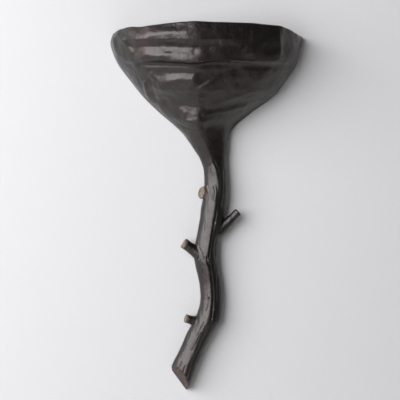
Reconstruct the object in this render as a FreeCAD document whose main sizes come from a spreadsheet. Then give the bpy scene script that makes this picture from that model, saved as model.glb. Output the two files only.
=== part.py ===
"""Torch sconce: a cast bronze half bowl on a cast branch, with the lamp hidden inside the bowl.

Frame: +Z up, the wall is the plane y = 0 and the sconce stands on its -Y side. The origin is the
middle of the two wall screws. Millimetres.
"""
import FreeCAD, Part

import math
import os

import Sketcher

Vector = FreeCAD.Vector

# Driving dimensions, one spreadsheet row each.
SIZES = {
    # bowl casting
    "rim_level": 75,
    "bowl_floor": -86,
    "joint_level": -118,
    "bowl_wall": 5,
    "hollow_straight": 3,
    "fold_height": 4.5,
    "fold_rise": 11,
    "pleat_half_turn": 4.5,
    "crest_height": 2,
    "lug_front": -24,
    "lug_high_x": 108,
    "lug_high_z": 20,
    "lug_low_x": 70,
    "lug_low_z": -26,
    "lug_half": 7,
    # branch casting
    "branch_back": -2,
    "branch_waist": -12,
    "branch_turn": 38,
    "branch_foot": -492,
    # joint between bowl and branch
    "neck_x": 8,
    "neck_y": -16,
    "stud_radius": 4,
    "stud_bottom": -142,
    "stud_top": -75,
    "dowel_x": -3,
    "dowel_y": -14,
    "dowel_radius": 2,
    "dowel_half": 9,
    "neck_washer_radius": 8.5,
    "neck_washer_thick": 1.6,
    "neck_nut_flats": 13,
    "neck_nut_thick": 6.5,
    # wall bracket and back plate
    "strap_thick": 2.5,
    "strap_height": 25,
    "strap_lift": 5.5,
    "pad_half": 42,
    "ramp_run": 5,
    "strap_half": 66,
    "wall_hole_x": 30,
    "wall_hole_radius": 2.5,
    "cable_hole_radius": 9,
    "hanger_x": 57,
    "hanger_radius": 2.5,
    "hanger_head_radius": 4.5,
    "hanger_head_thick": 2.6,
    "hanger_front": -20,
    "plate_thick": 2,
    "plate_top": 30,
    "plate_bottom": -36,
    "plate_top_half": 128,
    "plate_low_half": 76,
    "plate_corner": 6,
    "plate_screw_radius": 2,
    "plate_screw_head": 3.8,
    "plate_screw_long": 12,
    "cap_nut_radius": 8,
    "cap_nut_long": 14,
    "cap_nut_groove": 1,
    # cable grommet
    "grommet_radius": 10.5,
    "grommet_neck": 8,
    "grommet_hole": 4,
    "grommet_lip": 2,
    # lamp bracket
    "lamp_y": -40,
    "arm_top": -14,
    "arm_bottom": -50,
    "arm_thick": 2,
    "arm_half": 11,
    "arm_reach": 12,
    "arm_bend": 3,
    "arm_screw_high": -20,
    "arm_screw_low": -30,
    "arm_screw_radius": 2,
    "arm_screw_head": 3.6,
    # lampholder
    "nipple_radius": 5,
    "nipple_bore": 3.5,
    "nipple_bottom": -57,
    "nipple_top": -43,
    "lockwasher_thick": 1,
    "lockwasher_radius": 8,
    "nipple_nut_flats": 14,
    "nipple_nut_thick": 4,
    "holder_radius": 13.5,
    "holder_skin": 2,
    "holder_split": -26,
    "holder_mouth": 1,
    "holder_boss": 7.5,
    "holder_boss_long": 4,
    "insert_radius": 11.3,
    "insert_bottom": -32,
    "insert_seat": -21.5,
    "insert_top": -8,
    "sleeve_radius": 7.9,
    "sleeve_bore": 7.05,
    "sleeve_top": -2,
    "contact_width": 4,
    "contact_half": 5,
    "contact_sheet": 0.6,
    # bulb
    "tip_bottom": -20,
    "tip_radius": 2.4,
    "tip_thick": 1.2,
    "insulator_top": -15.5,
    "bulb_cap_radius": 6.95,
    "bulb_cap_top": 3,
    "bulb_skirt_radius": 8.4,
    "bulb_skirt_bottom": 1.5,
    "globe_radius": 22.5,
    "globe_level": 35.5,
    "glass_thick": 0.8,
    "glass_neck_radius": 7.6,
    "glass_cone_radius": 19.65,
    "glass_cone_top": 24.56,
    "mount_radius": 2.6,
    "mount_top": 20,
    "filament_radius": 0.8,
    "filament_top": 46,
    "filament_circle": 4,
    # wiring
    "block_x": 34,
    "block_width": 26,
    "block_depth": 14,
    "block_bottom": -30,
    "block_height": 16,
    "way_pitch": 8,
    "way_bore": 1.6,
    "clamp_radius": 2.7,
    "clamp_long": 12,
    "clamp_screw_radius": 1.4,
    "block_screw_radius": 1.2,
    "earth_x": 57,
    "earth_z": -25,
    "earth_screw_radius": 2,
    "earth_head_radius": 3.6,
    "tag_radius": 4.4,
    "tag_thick": 0.8,
    "lead_radius": 1.1,
    # pads behind the branch
    "stem_pad_radius": 6,
    "high_pad_x": 10,
    "high_pad_z": -190,
    "low_pad_x": -33,
    "low_pad_z": -440,
}

# Bowl outline: level, left edge, right edge, depth from the wall.
BOWL_ROWS = [
    (80, -147, 152, 126),
    (64, -153, 151.5, 126),
    (53, -151.5, 148, 124.5),
    (28, -141, 142, 118),
    (2, -121.5, 125, 104),
    (-23, -101.5, 105, 88),
    (-48, -76, 71, 69),
    (-73, -47, 42, 50),
    (-92, -31, 34.5, 39),
    (-118, -13.5, 30.5, 31),
]

# Front crest of the bowl: level and x.
BOWL_CREST = [(80, -14), (-73, -11), (-92, -6), (-118, 5)]

# Soft folds round the front of the bowl: level, height left of the crest, height right of it,
# where 1 is a fold's crest and -1 a groove.
FOLD_TURNS = [
    (96, 0, 0), (76, -0.2, 0), (47, 1, 0.4), (38, -0.5, 0.3), (17, 1, 0.8), (10.5, -0.9, -0.7),
    (2, -0.7, -0.3), (-24, 1, 0.2), (-34, -0.6, -0.1), (-43, -0.6, -0.3), (-67, 0.9, 0.3),
    (-76, -0.5, -0.3), (-94, 0, 0),
]
# Soft pleats down the right of the bowl's front: degrees from its right edge, height
PLEATS = [(60.5, 1.6), (41.5, 1.9)]
PLEAT_LEVELS = (20, 34)

# Branch outline: level, left edge, front crest, right edge, depth from the wall.
BRANCH_ROWS = [
    (-118, -13.5, 5, 30.5, 31),
    (-140, -5.3, 14, 31.1, 30),
    (-160, -4.3, 18, 32.5, 30),
    (-180, -6, 16.5, 32, 31),
    (-200, -9.5, 13, 29, 31),
    (-224, -12.4, 9, 26.5, 30),
    (-250, -17.5, 4.7, 19, 29),
    (-272, -21, 1.5, 17.2, 30),
    (-292, -18, 2, 19, 29),
    (-320, -12, 6.3, 23, 28),
    (-350, -11.4, 6.5, 24.5, 29),
    (-376, -20.4, 1.5, 21.2, 31),
    (-394, -30.2, -6, 10.5, 30),
    (-422, -43, -19, -4.4, 29),
    (-451, -57.7, -31, -16.8, 29),
    (-492, -78, -47, -32, 28),
]

# Cut twigs: foot x, y, z on the branch; tip x, y, z; foot radius; tip radius.
TWIGS = [
    (4, -14, -178, -9.5, -20.5, -175, 12.5, 10.5),
    (17, -15, -238, 47.5, -17, -208, 10, 6.2),
    (-4, -15, -278, -37.5, -17, -254, 11.5, 8),
    (-16, -15, -378, -34.5, -17, -372.5, 8, 6.6),
]

# Rim line seen from the front: x and level.
RIM_LINE = [
    (-170, 68), (-154, 68), (-146, 73), (-120, 74.5), (-95, 73), (-70, 74.5), (-20, 75),
    (60, 75), (110, 75.2), (132, 73), (145, 70.5), (154, 71.5), (170, 71.5),
]

# The slanting cut at the foot: a point on it and the way it faces.
FOOT_CUT_POINT = (-46, -2, -471)
FOOT_CUT_NORMAL = (-0.71, -0.47, -0.52)

# Internal leads, point by point. Y is measured from the wall.
LIVE_ROUTE = [
    (-1.3, -40, -33), (-1.5, -40, -46), (-1.3, -40, -59), (5, -37, -69), (17, -29, -70),
    (25, -20, -60), (26, -17, -46), (26, -17, -32),
]
NEUTRAL_ROUTE = [
    (1.3, -40, -33), (1.5, -40, -46), (1.3, -40, -59), (9, -35.5, -65.5), (22, -28.5, -63.5),
    (32, -20, -54.5), (34, -17, -44), (34, -17, -32),
]
EARTH_ROUTE = [
    (42, -17, -32), (41.6, -17, -39.5), (42.2, -17, -47), (46.5, -16.5, -51.6), (52.6, -15.3, -51.6),
    (56.8, -13.6, -47.4), (57.1, -12.2, -42.3), (57, -11.8, -37.3),
]

doc = FreeCAD.newDocument("TorchSconce")
sheet = doc.addObject("Spreadsheet::Sheet", "sizes")


def fill_sheet():
    """One row for each driving dimension: its name and its value."""
    for number, (alias, value) in enumerate(SIZES.items(), start=1):
        sheet.set(f"A{number}", alias)
        sheet.set(f"B{number}", str(value))
        sheet.setAlias(f"B{number}", alias)
    doc.recompute()


def size(alias):
    """A driving dimension, read back from the sheet."""
    return float(sheet.get(alias))


# ---------------------------------------------------------------- shared makers


def place(item, x="0", y="0", z="0"):
    """Bind an object's position to the sheet."""
    item.setExpression("Placement.Base.x", x)
    item.setExpression("Placement.Base.y", y)
    item.setExpression("Placement.Base.z", z)


def origin_plane(body, role):
    """The body's own origin plane with this role."""
    return next(plane for plane in body.Origin.OriginFeatures if plane.Role == role)


def outline(body, plane, corners, name):
    """Sketch a closed outline of straight sides; each corner is a pair of sheet expressions."""
    sketch = body.newObject("Sketcher::SketchObject", name)
    sketch.AttachmentSupport = [(origin_plane(body, plane), "")]
    sketch.MapMode = "FlatFace"
    count = len(corners)
    start = []
    for number in range(count):
        angle = 2 * math.pi * number / count
        start.append(Vector(30 + 10 * math.cos(angle), 30 + 10 * math.sin(angle), 0))
    for number in range(count):
        side = Part.LineSegment(start[number], start[(number + 1) % count])
        sketch.addGeometry(side)
    for number in range(count):
        sketch.addConstraint(Sketcher.Constraint("Coincident", number, 2, (number + 1) % count, 1))
    for number, (across, up) in enumerate(corners):
        for kind, text, rough in (
            ("DistanceX", across, start[number].x),
            ("DistanceY", up, start[number].y),
        ):
            added = sketch.addConstraint(Sketcher.Constraint(kind, -1, 1, number, 1, rough))
            sketch.setExpression(f"Constraints[{added}]", text)
    doc.recompute()
    return sketch


def turned(name, plane, corners):
    """A body turned about its sketch's upright axis; corners are (radius, height) expressions."""
    body = doc.addObject("PartDesign::Body", name)
    sketch = outline(body, plane, corners, name + "_profile")
    turn = body.newObject("PartDesign::Revolution", name + "_turn")
    turn.Profile = sketch
    turn.ReferenceAxis = (sketch, ["V_Axis"])
    turn.Angle = 360
    doc.recompute()
    return body


def padded(name, plane, corners, thickness):
    """A body padded both ways from its sketch plane by a sheet expression."""
    body = doc.addObject("PartDesign::Body", name)
    sketch = outline(body, plane, corners, name + "_outline")
    pad = body.newObject("PartDesign::Pad", name + "_pad")
    pad.Profile = sketch
    pad.Midplane = True
    pad.setExpression("Length", thickness)
    doc.recompute()
    return body


def circle_hole(body, plane, across, up, radius, name):
    """Cut a round hole right through a body, square to one of its origin planes."""
    sketch = body.newObject("Sketcher::SketchObject", name + "_sketch")
    sketch.AttachmentSupport = [(origin_plane(body, plane), "")]
    sketch.MapMode = "FlatFace"
    sketch.addGeometry(Part.Circle(Vector(20, 20, 0), Vector(0, 0, 1), 3))
    wide = sketch.addConstraint(Sketcher.Constraint("Radius", 0, 3))
    right = sketch.addConstraint(Sketcher.Constraint("DistanceX", -1, 1, 0, 3, 20))
    high = sketch.addConstraint(Sketcher.Constraint("DistanceY", -1, 1, 0, 3, 20))
    sketch.setExpression(f"Constraints[{wide}]", radius)
    sketch.setExpression(f"Constraints[{right}]", across)
    sketch.setExpression(f"Constraints[{high}]", up)
    doc.recompute()
    cut_through(body, sketch, name)


def cut_through(body, sketch, name):
    """Pocket a sketch through the whole body and make sure that it took metal away."""
    before = body.Shape.Volume
    pocket = body.newObject("PartDesign::Pocket", name)
    pocket.Profile = sketch
    pocket.Type = "ThroughAll"
    pocket.Midplane = True
    doc.recompute()
    if body.Shape.Volume > before - 1e-3:
        raise RuntimeError(name + " cut nothing")


def group(name, bodies):
    """Identical pieces under one name, as a group of separate solids."""
    compound = doc.addObject("Part::Compound", name)
    compound.Links = bodies
    doc.recompute()
    return compound


def hex_nut(name, flats, thick, bore):
    """A hexagon nut lying flat on z = 0."""
    blank = doc.addObject("Part::Prism", name + "_blank")
    blank.Polygon = 6
    blank.setExpression("Circumradius", f"{flats} / 2 / cos(30 deg)")
    blank.setExpression("Height", thick)
    chamfer = doc.addObject("Part::Cone", name + "_chamfer")
    chamfer.setExpression("Radius1", f"{flats} / 2 * 1.12 + {thick}")
    chamfer.setExpression("Radius2", f"{flats} / 2")
    chamfer.setExpression("Height", thick)
    hole = doc.addObject("Part::Cylinder", name + "_hole")
    hole.setExpression("Radius", bore)
    hole.setExpression("Height", thick)
    rounded = doc.addObject("Part::Common", name + "_rounded")
    rounded.Base = blank
    rounded.Tool = chamfer
    nut = doc.addObject("Part::Cut", name)
    nut.Base = rounded
    nut.Tool = hole
    doc.recompute()
    return nut


def casting(name, shape):
    """A free-form casting as an object of its own."""
    item = doc.addObject("Part::Feature", name)
    item.Shape = shape
    item.Placement = FreeCAD.Placement()
    return item


# ---------------------------------------------------------------- free-form sections


def eased(rows, level, column):
    """Smooth curve through one column of an outline, from the top row down."""
    for number in range(len(rows) - 1):
        if level >= rows[number + 1][0] or number == len(rows) - 2:
            break
    high, low = rows[number], rows[number + 1]
    above = rows[max(number - 1, 0)]
    below = rows[min(number + 2, len(rows) - 1)]
    span = low[0] - high[0]
    part = (level - high[0]) / span
    slope_high = span * (low[column] - above[column]) / (low[0] - above[0])
    slope_low = span * (below[column] - high[column]) / (below[0] - high[0])
    return (
        (2 * part**3 - 3 * part**2 + 1) * high[column]
        + (part**3 - 2 * part**2 + part) * slope_high
        + (3 * part**2 - 2 * part**3) * low[column]
        + (part**3 - part**2) * slope_low
    )


def smooth_step(value):
    """0 below 0, 1 above 1, and an even slope between."""
    held = min(max(value, 0.0), 1.0)
    return held * held * (3 - 2 * held)


def fold(level, angle):
    """Height of the folds at a level and an angle round the bowl: 1 on a crest, -1 in a groove."""
    level = level - size("fold_rise") * math.cos(angle) ** 2
    to_right = smooth_step((math.pi / 2 + 0.15 - angle) / 0.7)
    if level >= FOLD_TURNS[0][0] or level <= FOLD_TURNS[-1][0]:
        return 0.0
    for above, below in zip(FOLD_TURNS, FOLD_TURNS[1:]):
        if level >= below[0]:
            break
    first = above[1] + (above[2] - above[1]) * to_right
    second = below[1] + (below[2] - below[1]) * to_right
    return first + (second - first) * smooth_step((above[0] - level) / (above[0] - below[0]))


def pleat(level, angle):
    """Height in millimetres of the soft pleats on the right of the bowl's front."""
    fade = smooth_step((level - PLEAT_LEVELS[0]) / (PLEAT_LEVELS[1] - PLEAT_LEVELS[0]))
    half_width = math.radians(size("pleat_half_turn"))
    total = 0.0
    for turn, height in PLEATS:
        total += height * fade * math.exp(-(((angle - math.radians(turn)) / half_width) ** 2))
    return total


def section(level, edges, back, waist, turn, lift, count):
    """Points round one level of a casting, from its right back edge over the front to its left."""
    left, crest, right, depth = edges
    points = []
    for number in range(count):
        angle = -turn + (math.pi + 2 * turn) * number / (count - 1)
        side = right - crest if math.cos(angle) > 0 else crest - left
        x = crest + side * math.cos(angle)
        if math.sin(angle) > -1e-9:
            y = waist - (depth + waist) * math.sin(angle)
        else:
            bent = -angle if angle < 0 else angle - math.pi
            y = waist + (back - waist) * bent / turn
        raised = lift(angle)
        points.append(Vector(x + raised * math.cos(angle), y - raised * math.sin(angle), level))
    return points


def closed_section(points, behind=None):
    """A wire through the points, closed straight or by sides that reach back to y = behind."""
    curve = Part.BSplineCurve()
    steps = [number / (len(points) - 1) for number in range(len(points))]
    curve.interpolate(Points=points, Parameters=steps)
    right, left = points[0], points[-1]
    corners = [left]
    if behind is not None:
        corners.append(Vector(left.x, behind, left.z))
        corners.append(Vector(right.x, behind, right.z))
    corners.append(right)
    edges = [curve.toShape()]
    for first, second in zip(corners, corners[1:]):
        edges.append(Part.makeLine(first, second))
    return Part.Wire(edges)


def bowl_section(level, inset=0):
    """One level of the bowl: its outside, or its hollow when inset is the wall thickness."""
    toward_branch = smooth_step((-60 - level) / 58)
    edges = (
        eased(BOWL_ROWS, level, 1) + inset,
        eased(BOWL_CREST, level, 1),
        eased(BOWL_ROWS, level, 2) - inset,
        eased(BOWL_ROWS, level, 3) - inset,
    )

    def lift(angle):
        forward = max(math.sin(angle), 0.0)
        raised = size("fold_height") * fold(level, angle) * forward**1.5 + pleat(level, angle)
        return raised + size("crest_height") * math.exp(-(((angle - math.pi / 2) / 0.35) ** 2))

    back = size("branch_back") * toward_branch
    waist = size("branch_waist") * toward_branch
    turn = math.radians(size("branch_turn")) * toward_branch
    if inset:
        straight = size("hollow_straight")
        return closed_section(section(level, edges, 0, waist - straight, 0, lift, 27), straight)
    return closed_section(section(level, edges, back, waist, turn, lift, 27))


def branch_section(level):
    """One level of the branch: round, with a soft crest down its front."""
    edges = tuple(eased(BRANCH_ROWS, level, column) for column in (1, 2, 3, 4))

    def lift(angle):
        return size("crest_height") * math.exp(-(((angle - math.pi / 2) / 0.35) ** 2))

    turn = math.radians(size("branch_turn"))
    points = section(level, edges, size("branch_back"), size("branch_waist"), turn, lift, 13)
    return closed_section(points)


def even_levels(top, bottom, count):
    """Levels at even steps from top to bottom."""
    return [top + (bottom - top) * number / (count - 1) for number in range(count)]


# ---------------------------------------------------------------- castings


def lug(x, z, outer):
    """A cast lug on the bowl's inner side, with its screw hole, held inside the outer skin."""
    half = size("lug_half")
    plate_front = -size("strap_lift") - size("strap_thick") - size("plate_thick")
    outward = math.copysign(1, x)
    reach = 60
    near = x - outward * half
    corner = min(near, near + outward * reach)
    front = size("lug_front")
    block = Part.makeBox(reach, plate_front - front, 2 * half, Vector(corner, front, z - half))
    hole = Part.makeCylinder(
        size("plate_screw_radius") + 0.05, size("plate_screw_long"), Vector(x, plate_front, z), Vector(0, -1, 0)
    )
    return block.common(outer).cut(hole)


def rim_tool():
    """The space above the rim line, which is cut away."""
    points = [Vector(x, 5, level) for x, level in RIM_LINE]
    curve = Part.BSplineCurve()
    curve.interpolate(points)
    top = 120
    first, last = points[0], points[-1]
    sides = [
        curve.toShape(),
        Part.makeLine(last, Vector(last.x, 5, top)),
        Part.makeLine(Vector(last.x, 5, top), Vector(first.x, 5, top)),
        Part.makeLine(Vector(first.x, 5, top), first),
    ]
    return Part.Face(Part.Wire(sides)).extrude(Vector(0, -160, 0))


def make_bowl():
    """Half bowl: open at the top and at the wall, folded round the front, solid at the neck."""
    top = 80
    outer_levels = even_levels(top, size("joint_level"), 44)
    outer = Part.makeLoft([bowl_section(level) for level in outer_levels], True, False)
    floor = size("bowl_floor")
    inner_levels = even_levels(top, floor, 36)
    wall = size("bowl_wall")
    inner = Part.makeLoft([bowl_section(level, wall) for level in inner_levels], True, False)
    shell = outer.cut(inner)
    for x, z in (
        (size("lug_high_x"), size("lug_high_z")),
        (-size("lug_high_x"), size("lug_high_z")),
        (size("lug_low_x"), size("lug_low_z")),
        (-size("lug_low_x"), size("lug_low_z")),
    ):
        shell = shell.fuse(lug(x, z, outer))
    joint = size("joint_level")
    shell = shell.cut(rim_tool())
    stud_spot = Vector(size("neck_x"), size("neck_y"), joint - 1)
    shell = shell.cut(Part.makeCylinder(size("stud_radius") + 0.25, floor - joint + 2, stud_spot))
    dowel_spot = Vector(size("dowel_x"), size("dowel_y"), joint - 1)
    shell = shell.cut(Part.makeCylinder(size("dowel_radius"), size("dowel_half") + 1, dowel_spot))
    return casting("bowl", shell)


def twig(row):
    """A cut twig: flared where it leaves the branch, eased over at its cut end."""
    foot = Vector(*row[0:3])
    tip = Vector(*row[3:6])
    foot_radius, tip_radius = row[6:8]
    long = (tip - foot).Length
    edge = tip_radius * 0.3
    waist_radius = tip_radius * 0.94
    flare = Part.Arc(
        Vector(foot_radius, 0, 0),
        Vector((foot_radius + 2 * waist_radius) / 3, 0, long * 0.35),
        Vector(waist_radius, 0, long * 0.75),
    ).toShape()
    side = Part.makeLine(Vector(waist_radius, 0, long * 0.75), Vector(tip_radius, 0, long - edge))
    cut_edge = Part.Arc(
        Vector(tip_radius, 0, long - edge),
        Vector(tip_radius - edge * 0.3, 0, long - edge * 0.3),
        Vector(tip_radius - edge, 0, long),
    ).toShape()
    end = Part.makeLine(Vector(tip_radius - edge, 0, long), Vector(0, 0, long))
    axis = Part.makeLine(Vector(0, 0, long), Vector(0, 0, 0))
    base = Part.makeLine(Vector(0, 0, 0), Vector(foot_radius, 0, 0))
    profile = Part.Face(Part.Wire([flare, side, cut_edge, end, axis, base]))
    solid = profile.revolve(Vector(0, 0, 0), Vector(0, 0, 1), 360)
    aim = FreeCAD.Rotation(Vector(0, 0, 1), tip - foot)
    solid.Placement = FreeCAD.Placement(foot, aim)
    return solid


def make_stem():
    """Branch with four cut twigs, a slanting cut at the foot and holes for stud and dowel."""
    joint = size("joint_level")
    levels = even_levels(joint, size("branch_foot"), 35)
    branch = Part.makeLoft([branch_section(level) for level in levels], True, False)
    behind = Part.makeBox(400, 100, 600, Vector(-200, size("branch_back"), -550))
    for row in TWIGS:
        branch = branch.fuse(twig(row).cut(behind))
    normal = Vector(*FOOT_CUT_NORMAL)
    chip = Part.makeBox(200, 200, 100, Vector(-100, -100, 0))
    chip.Placement = FreeCAD.Placement(
        Vector(*FOOT_CUT_POINT), FreeCAD.Rotation(Vector(0, 0, 1), normal)
    ).multiply(FreeCAD.Placement(Vector(0, 0, 0), FreeCAD.Rotation()))
    branch = branch.cut(chip)
    stud_bottom = size("stud_bottom")
    stud_spot = Vector(size("neck_x"), size("neck_y"), stud_bottom)
    branch = branch.cut(Part.makeCylinder(size("stud_radius"), joint - stud_bottom + 1, stud_spot))
    dowel_spot = Vector(size("dowel_x"), size("dowel_y"), joint - size("dowel_half"))
    branch = branch.cut(Part.makeCylinder(size("dowel_radius"), size("dowel_half") + 1, dowel_spot))
    return casting("stem", branch)


# ---------------------------------------------------------------- neck joint


def make_neck_parts():
    """Stud, washer, nut and dowel that hold bowl and branch together."""
    stud = doc.addObject("Part::Cylinder", "neck_stud")
    stud.setExpression("Radius", "sizes.stud_radius")
    stud.setExpression("Height", "sizes.stud_top - sizes.stud_bottom")
    place(stud, "sizes.neck_x", "sizes.neck_y", "sizes.stud_bottom")
    washer = turned("neck_washer", "XZ_Plane", [
        ("sizes.stud_radius + 0.25", "0"),
        ("sizes.neck_washer_radius", "0"),
        ("sizes.neck_washer_radius", "sizes.neck_washer_thick"),
        ("sizes.stud_radius + 0.25", "sizes.neck_washer_thick"),
    ])
    place(washer, "sizes.neck_x", "sizes.neck_y", "sizes.bowl_floor")
    nut = hex_nut("neck_nut", "sizes.neck_nut_flats", "sizes.neck_nut_thick", "sizes.stud_radius")
    place(nut, "sizes.neck_x", "sizes.neck_y", "sizes.bowl_floor + sizes.neck_washer_thick")
    dowel = doc.addObject("Part::Cylinder", "neck_dowel")
    dowel.setExpression("Radius", "sizes.dowel_radius")
    dowel.setExpression("Height", "2 * sizes.dowel_half")
    place(dowel, "sizes.dowel_x", "sizes.dowel_y", "sizes.joint_level - sizes.dowel_half")
    return [stud, washer, nut, dowel]


# ---------------------------------------------------------------- wall fixing


def make_wall_bracket():
    """Steel strap: its middle lies on the wall and its ends stand off for the stud heads."""
    inner = "(sizes.pad_half + sizes.ramp_run)"
    lift = "sizes.strap_lift"
    thick = "sizes.strap_thick"
    front = f"-({lift} + {thick})"
    step = "1.5"
    body = padded("wall_bracket", "XY_Plane", [
        ("-sizes.strap_half", f"-{lift}"),
        (f"-{inner}", f"-{lift}"),
        ("-sizes.pad_half", "0"),
        ("sizes.pad_half", "0"),
        (inner, f"-{lift}"),
        ("sizes.strap_half", f"-{lift}"),
        ("sizes.strap_half", front),
        (f"{inner} - {step}", front),
        (f"sizes.pad_half - {step}", f"-{thick}"),
        (f"-(sizes.pad_half - {step})", f"-{thick}"),
        (f"-({inner} - {step})", front),
        ("-sizes.strap_half", front),
    ], "sizes.strap_height")
    circle_hole(body, "XZ_Plane", "0", "0", "sizes.cable_hole_radius", "strap_cable_hole")
    for side in (-1, 1):
        word = "left" if side < 0 else "right"
        circle_hole(
            body, "XZ_Plane", f"{side} * sizes.wall_hole_x", "0", "sizes.wall_hole_radius", f"wall_hole_{word}"
        )
        circle_hole(
            body, "XZ_Plane", f"{side} * sizes.hanger_x", "0", "sizes.hanger_radius", f"hanger_hole_{word}"
        )
    return body


def make_mounting_studs():
    """Two screws that point out of the strap; their heads are behind its raised ends."""
    studs = []
    for side in (-1, 1):
        stud = turned(f"mounting_stud_{len(studs) + 1}", "XY_Plane", [
            ("0", "sizes.hanger_head_thick"),
            ("sizes.hanger_head_radius", "sizes.hanger_head_thick"),
            ("sizes.hanger_head_radius", "0"),
            ("sizes.hanger_radius", "0"),
            ("sizes.hanger_radius", "sizes.hanger_front + sizes.strap_lift"),
            ("0", "sizes.hanger_front + sizes.strap_lift"),
        ])
        place(stud, f"{side} * sizes.hanger_x", "-sizes.strap_lift", "0")
        studs.append(stud)
    return group("mounting_studs", studs)


def make_cap_nuts():
    """Closed knurled nuts, turned by hand from inside the bowl."""
    nuts = []
    front = "-sizes.cap_nut_long"
    bottom = "sizes.hanger_front + sizes.strap_lift + sizes.strap_thick + sizes.plate_thick - 1"
    for side in (-1, 1):
        nut = turned(f"cap_nut_{len(nuts) + 1}", "XY_Plane", [
            ("sizes.hanger_radius", "0"),
            ("sizes.cap_nut_radius", "0"),
            ("sizes.cap_nut_radius", "-3"),
            ("sizes.cap_nut_radius - sizes.cap_nut_groove", "-3.5"),
            ("sizes.cap_nut_radius - sizes.cap_nut_groove", "-4.5"),
            ("sizes.cap_nut_radius", "-5"),
            ("sizes.cap_nut_radius", f"{front} + 3"),
            ("sizes.cap_nut_radius - 3", front),
            ("0", front),
            ("0", bottom),
            ("sizes.hanger_radius", bottom),
        ])
        place(nut, f"{side} * sizes.hanger_x", "-(sizes.strap_lift + sizes.strap_thick + sizes.plate_thick)", "0")
        nuts.append(nut)
    return group("cap_nuts", nuts)


def make_back_plate():
    """Steel plate across the bowl's open back, narrower toward the bottom like the bowl."""
    body = padded("back_plate", "XZ_Plane", [
        ("-sizes.plate_top_half", "sizes.plate_top"),
        ("-sizes.plate_low_half", "sizes.plate_bottom"),
        ("sizes.plate_low_half", "sizes.plate_bottom"),
        ("sizes.plate_top_half", "sizes.plate_top"),
    ], "sizes.plate_thick")
    base = body.Tip
    fillet = body.newObject("PartDesign::Fillet", "plate_corners")
    upright = []
    for number, edge in enumerate(base.Shape.Edges, start=1):
        ends = [vertex.Point for vertex in edge.Vertexes]
        if len(ends) == 2 and abs(abs(ends[0].y - ends[1].y) - size("plate_thick")) < 1e-6:
            upright.append(f"Edge{number}")
    fillet.Base = (base, upright)
    fillet.setExpression("Radius", "sizes.plate_corner")
    body.Tip = fillet
    doc.recompute()
    circle_hole(body, "XZ_Plane", "0", "0", "sizes.grommet_neck", "plate_cable_hole")
    for side in (-1, 1):
        word = "left" if side < 0 else "right"
        spots = {
            "hanger": ("sizes.hanger_x", "0", "sizes.hanger_radius + 0.4"),
            "high": ("sizes.lug_high_x", "sizes.lug_high_z", "sizes.plate_screw_radius + 0.25"),
            "low": ("sizes.lug_low_x", "sizes.lug_low_z", "sizes.plate_screw_radius + 0.25"),
        }
        for spot, (across, up, radius) in spots.items():
            circle_hole(body, "XZ_Plane", f"{side} * {across}", up, radius, f"plate_{spot}_{word}")
    circle_hole(body, "XZ_Plane", "0", "sizes.arm_screw_high", "sizes.arm_screw_radius", "plate_arm_high")
    circle_hole(body, "XZ_Plane", "0", "sizes.arm_screw_low", "sizes.arm_screw_radius", "plate_arm_low")
    circle_hole(body, "XZ_Plane", "sizes.earth_x", "sizes.earth_z", "sizes.earth_screw_radius", "plate_earth")
    circle_hole(
        body, "XZ_Plane", "sizes.block_x + sizes.way_pitch / 2", "sizes.block_bottom + sizes.block_height / 2",
        "sizes.block_screw_radius", "plate_block",
    )
    place(body, "0", "-(sizes.strap_lift + sizes.strap_thick + sizes.plate_thick / 2)", "0")
    return body


def cross_screw(name, radius, head, long):
    """A pan-head screw along Y: its head is behind y = 0 and its shank points at -Y."""
    return turned(name, "XY_Plane", [
        ("0", "2"),
        (f"{head} * 0.6", "2"),
        (head, "1"),
        (head, "0"),
        (radius, "0"),
        (radius, f"-({long})"),
        ("0", f"-({long})"),
    ])


def make_back_plate_screws():
    """Four screws from behind the plate into the bowl's lugs."""
    screws = []
    for side in (-1, 1):
        for level in ("high", "low"):
            screw = cross_screw(
                f"plate_screw_{len(screws) + 1}", "sizes.plate_screw_radius", "sizes.plate_screw_head",
                "sizes.plate_thick + sizes.plate_screw_long - 1",
            )
            place(
                screw, f"{side} * sizes.lug_{level}_x", "-(sizes.strap_lift + sizes.strap_thick)",
                f"sizes.lug_{level}_z",
            )
            screws.append(screw)
    return group("back_plate_screws", screws)


def make_stem_pads():
    """Two rubber pads behind the branch."""
    pads = []
    for spot in ("high", "low"):
        pad = turned(f"stem_pad_{spot}", "XY_Plane", [
            ("0", "0"),
            ("sizes.stem_pad_radius", "0"),
            ("sizes.stem_pad_radius", "sizes.branch_back"),
            ("0", "sizes.branch_back"),
        ])
        place(pad, f"sizes.{spot}_pad_x", "0", f"sizes.{spot}_pad_z")
        pads.append(pad)
    return group("stem_pads", pads)


# ---------------------------------------------------------------- lamp


def make_cable_grommet():
    """Rubber ring that grips the plate's cable hole with a lip on each side."""
    half = "sizes.plate_thick / 2"
    lip = f"({half} + sizes.grommet_lip)"
    body = turned("cable_grommet", "XY_Plane", [
        ("sizes.grommet_hole", lip),
        ("sizes.grommet_radius - 1", lip),
        ("sizes.grommet_radius", half),
        ("sizes.grommet_neck", half),
        ("sizes.grommet_neck", f"-{half}"),
        ("sizes.grommet_radius", f"-{half}"),
        ("sizes.grommet_radius - 1", f"-{lip}"),
        ("sizes.grommet_hole", f"-{lip}"),
    ])
    place(body, "0", "-(sizes.strap_lift + sizes.strap_thick + sizes.plate_thick / 2)", "0")
    return body


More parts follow.
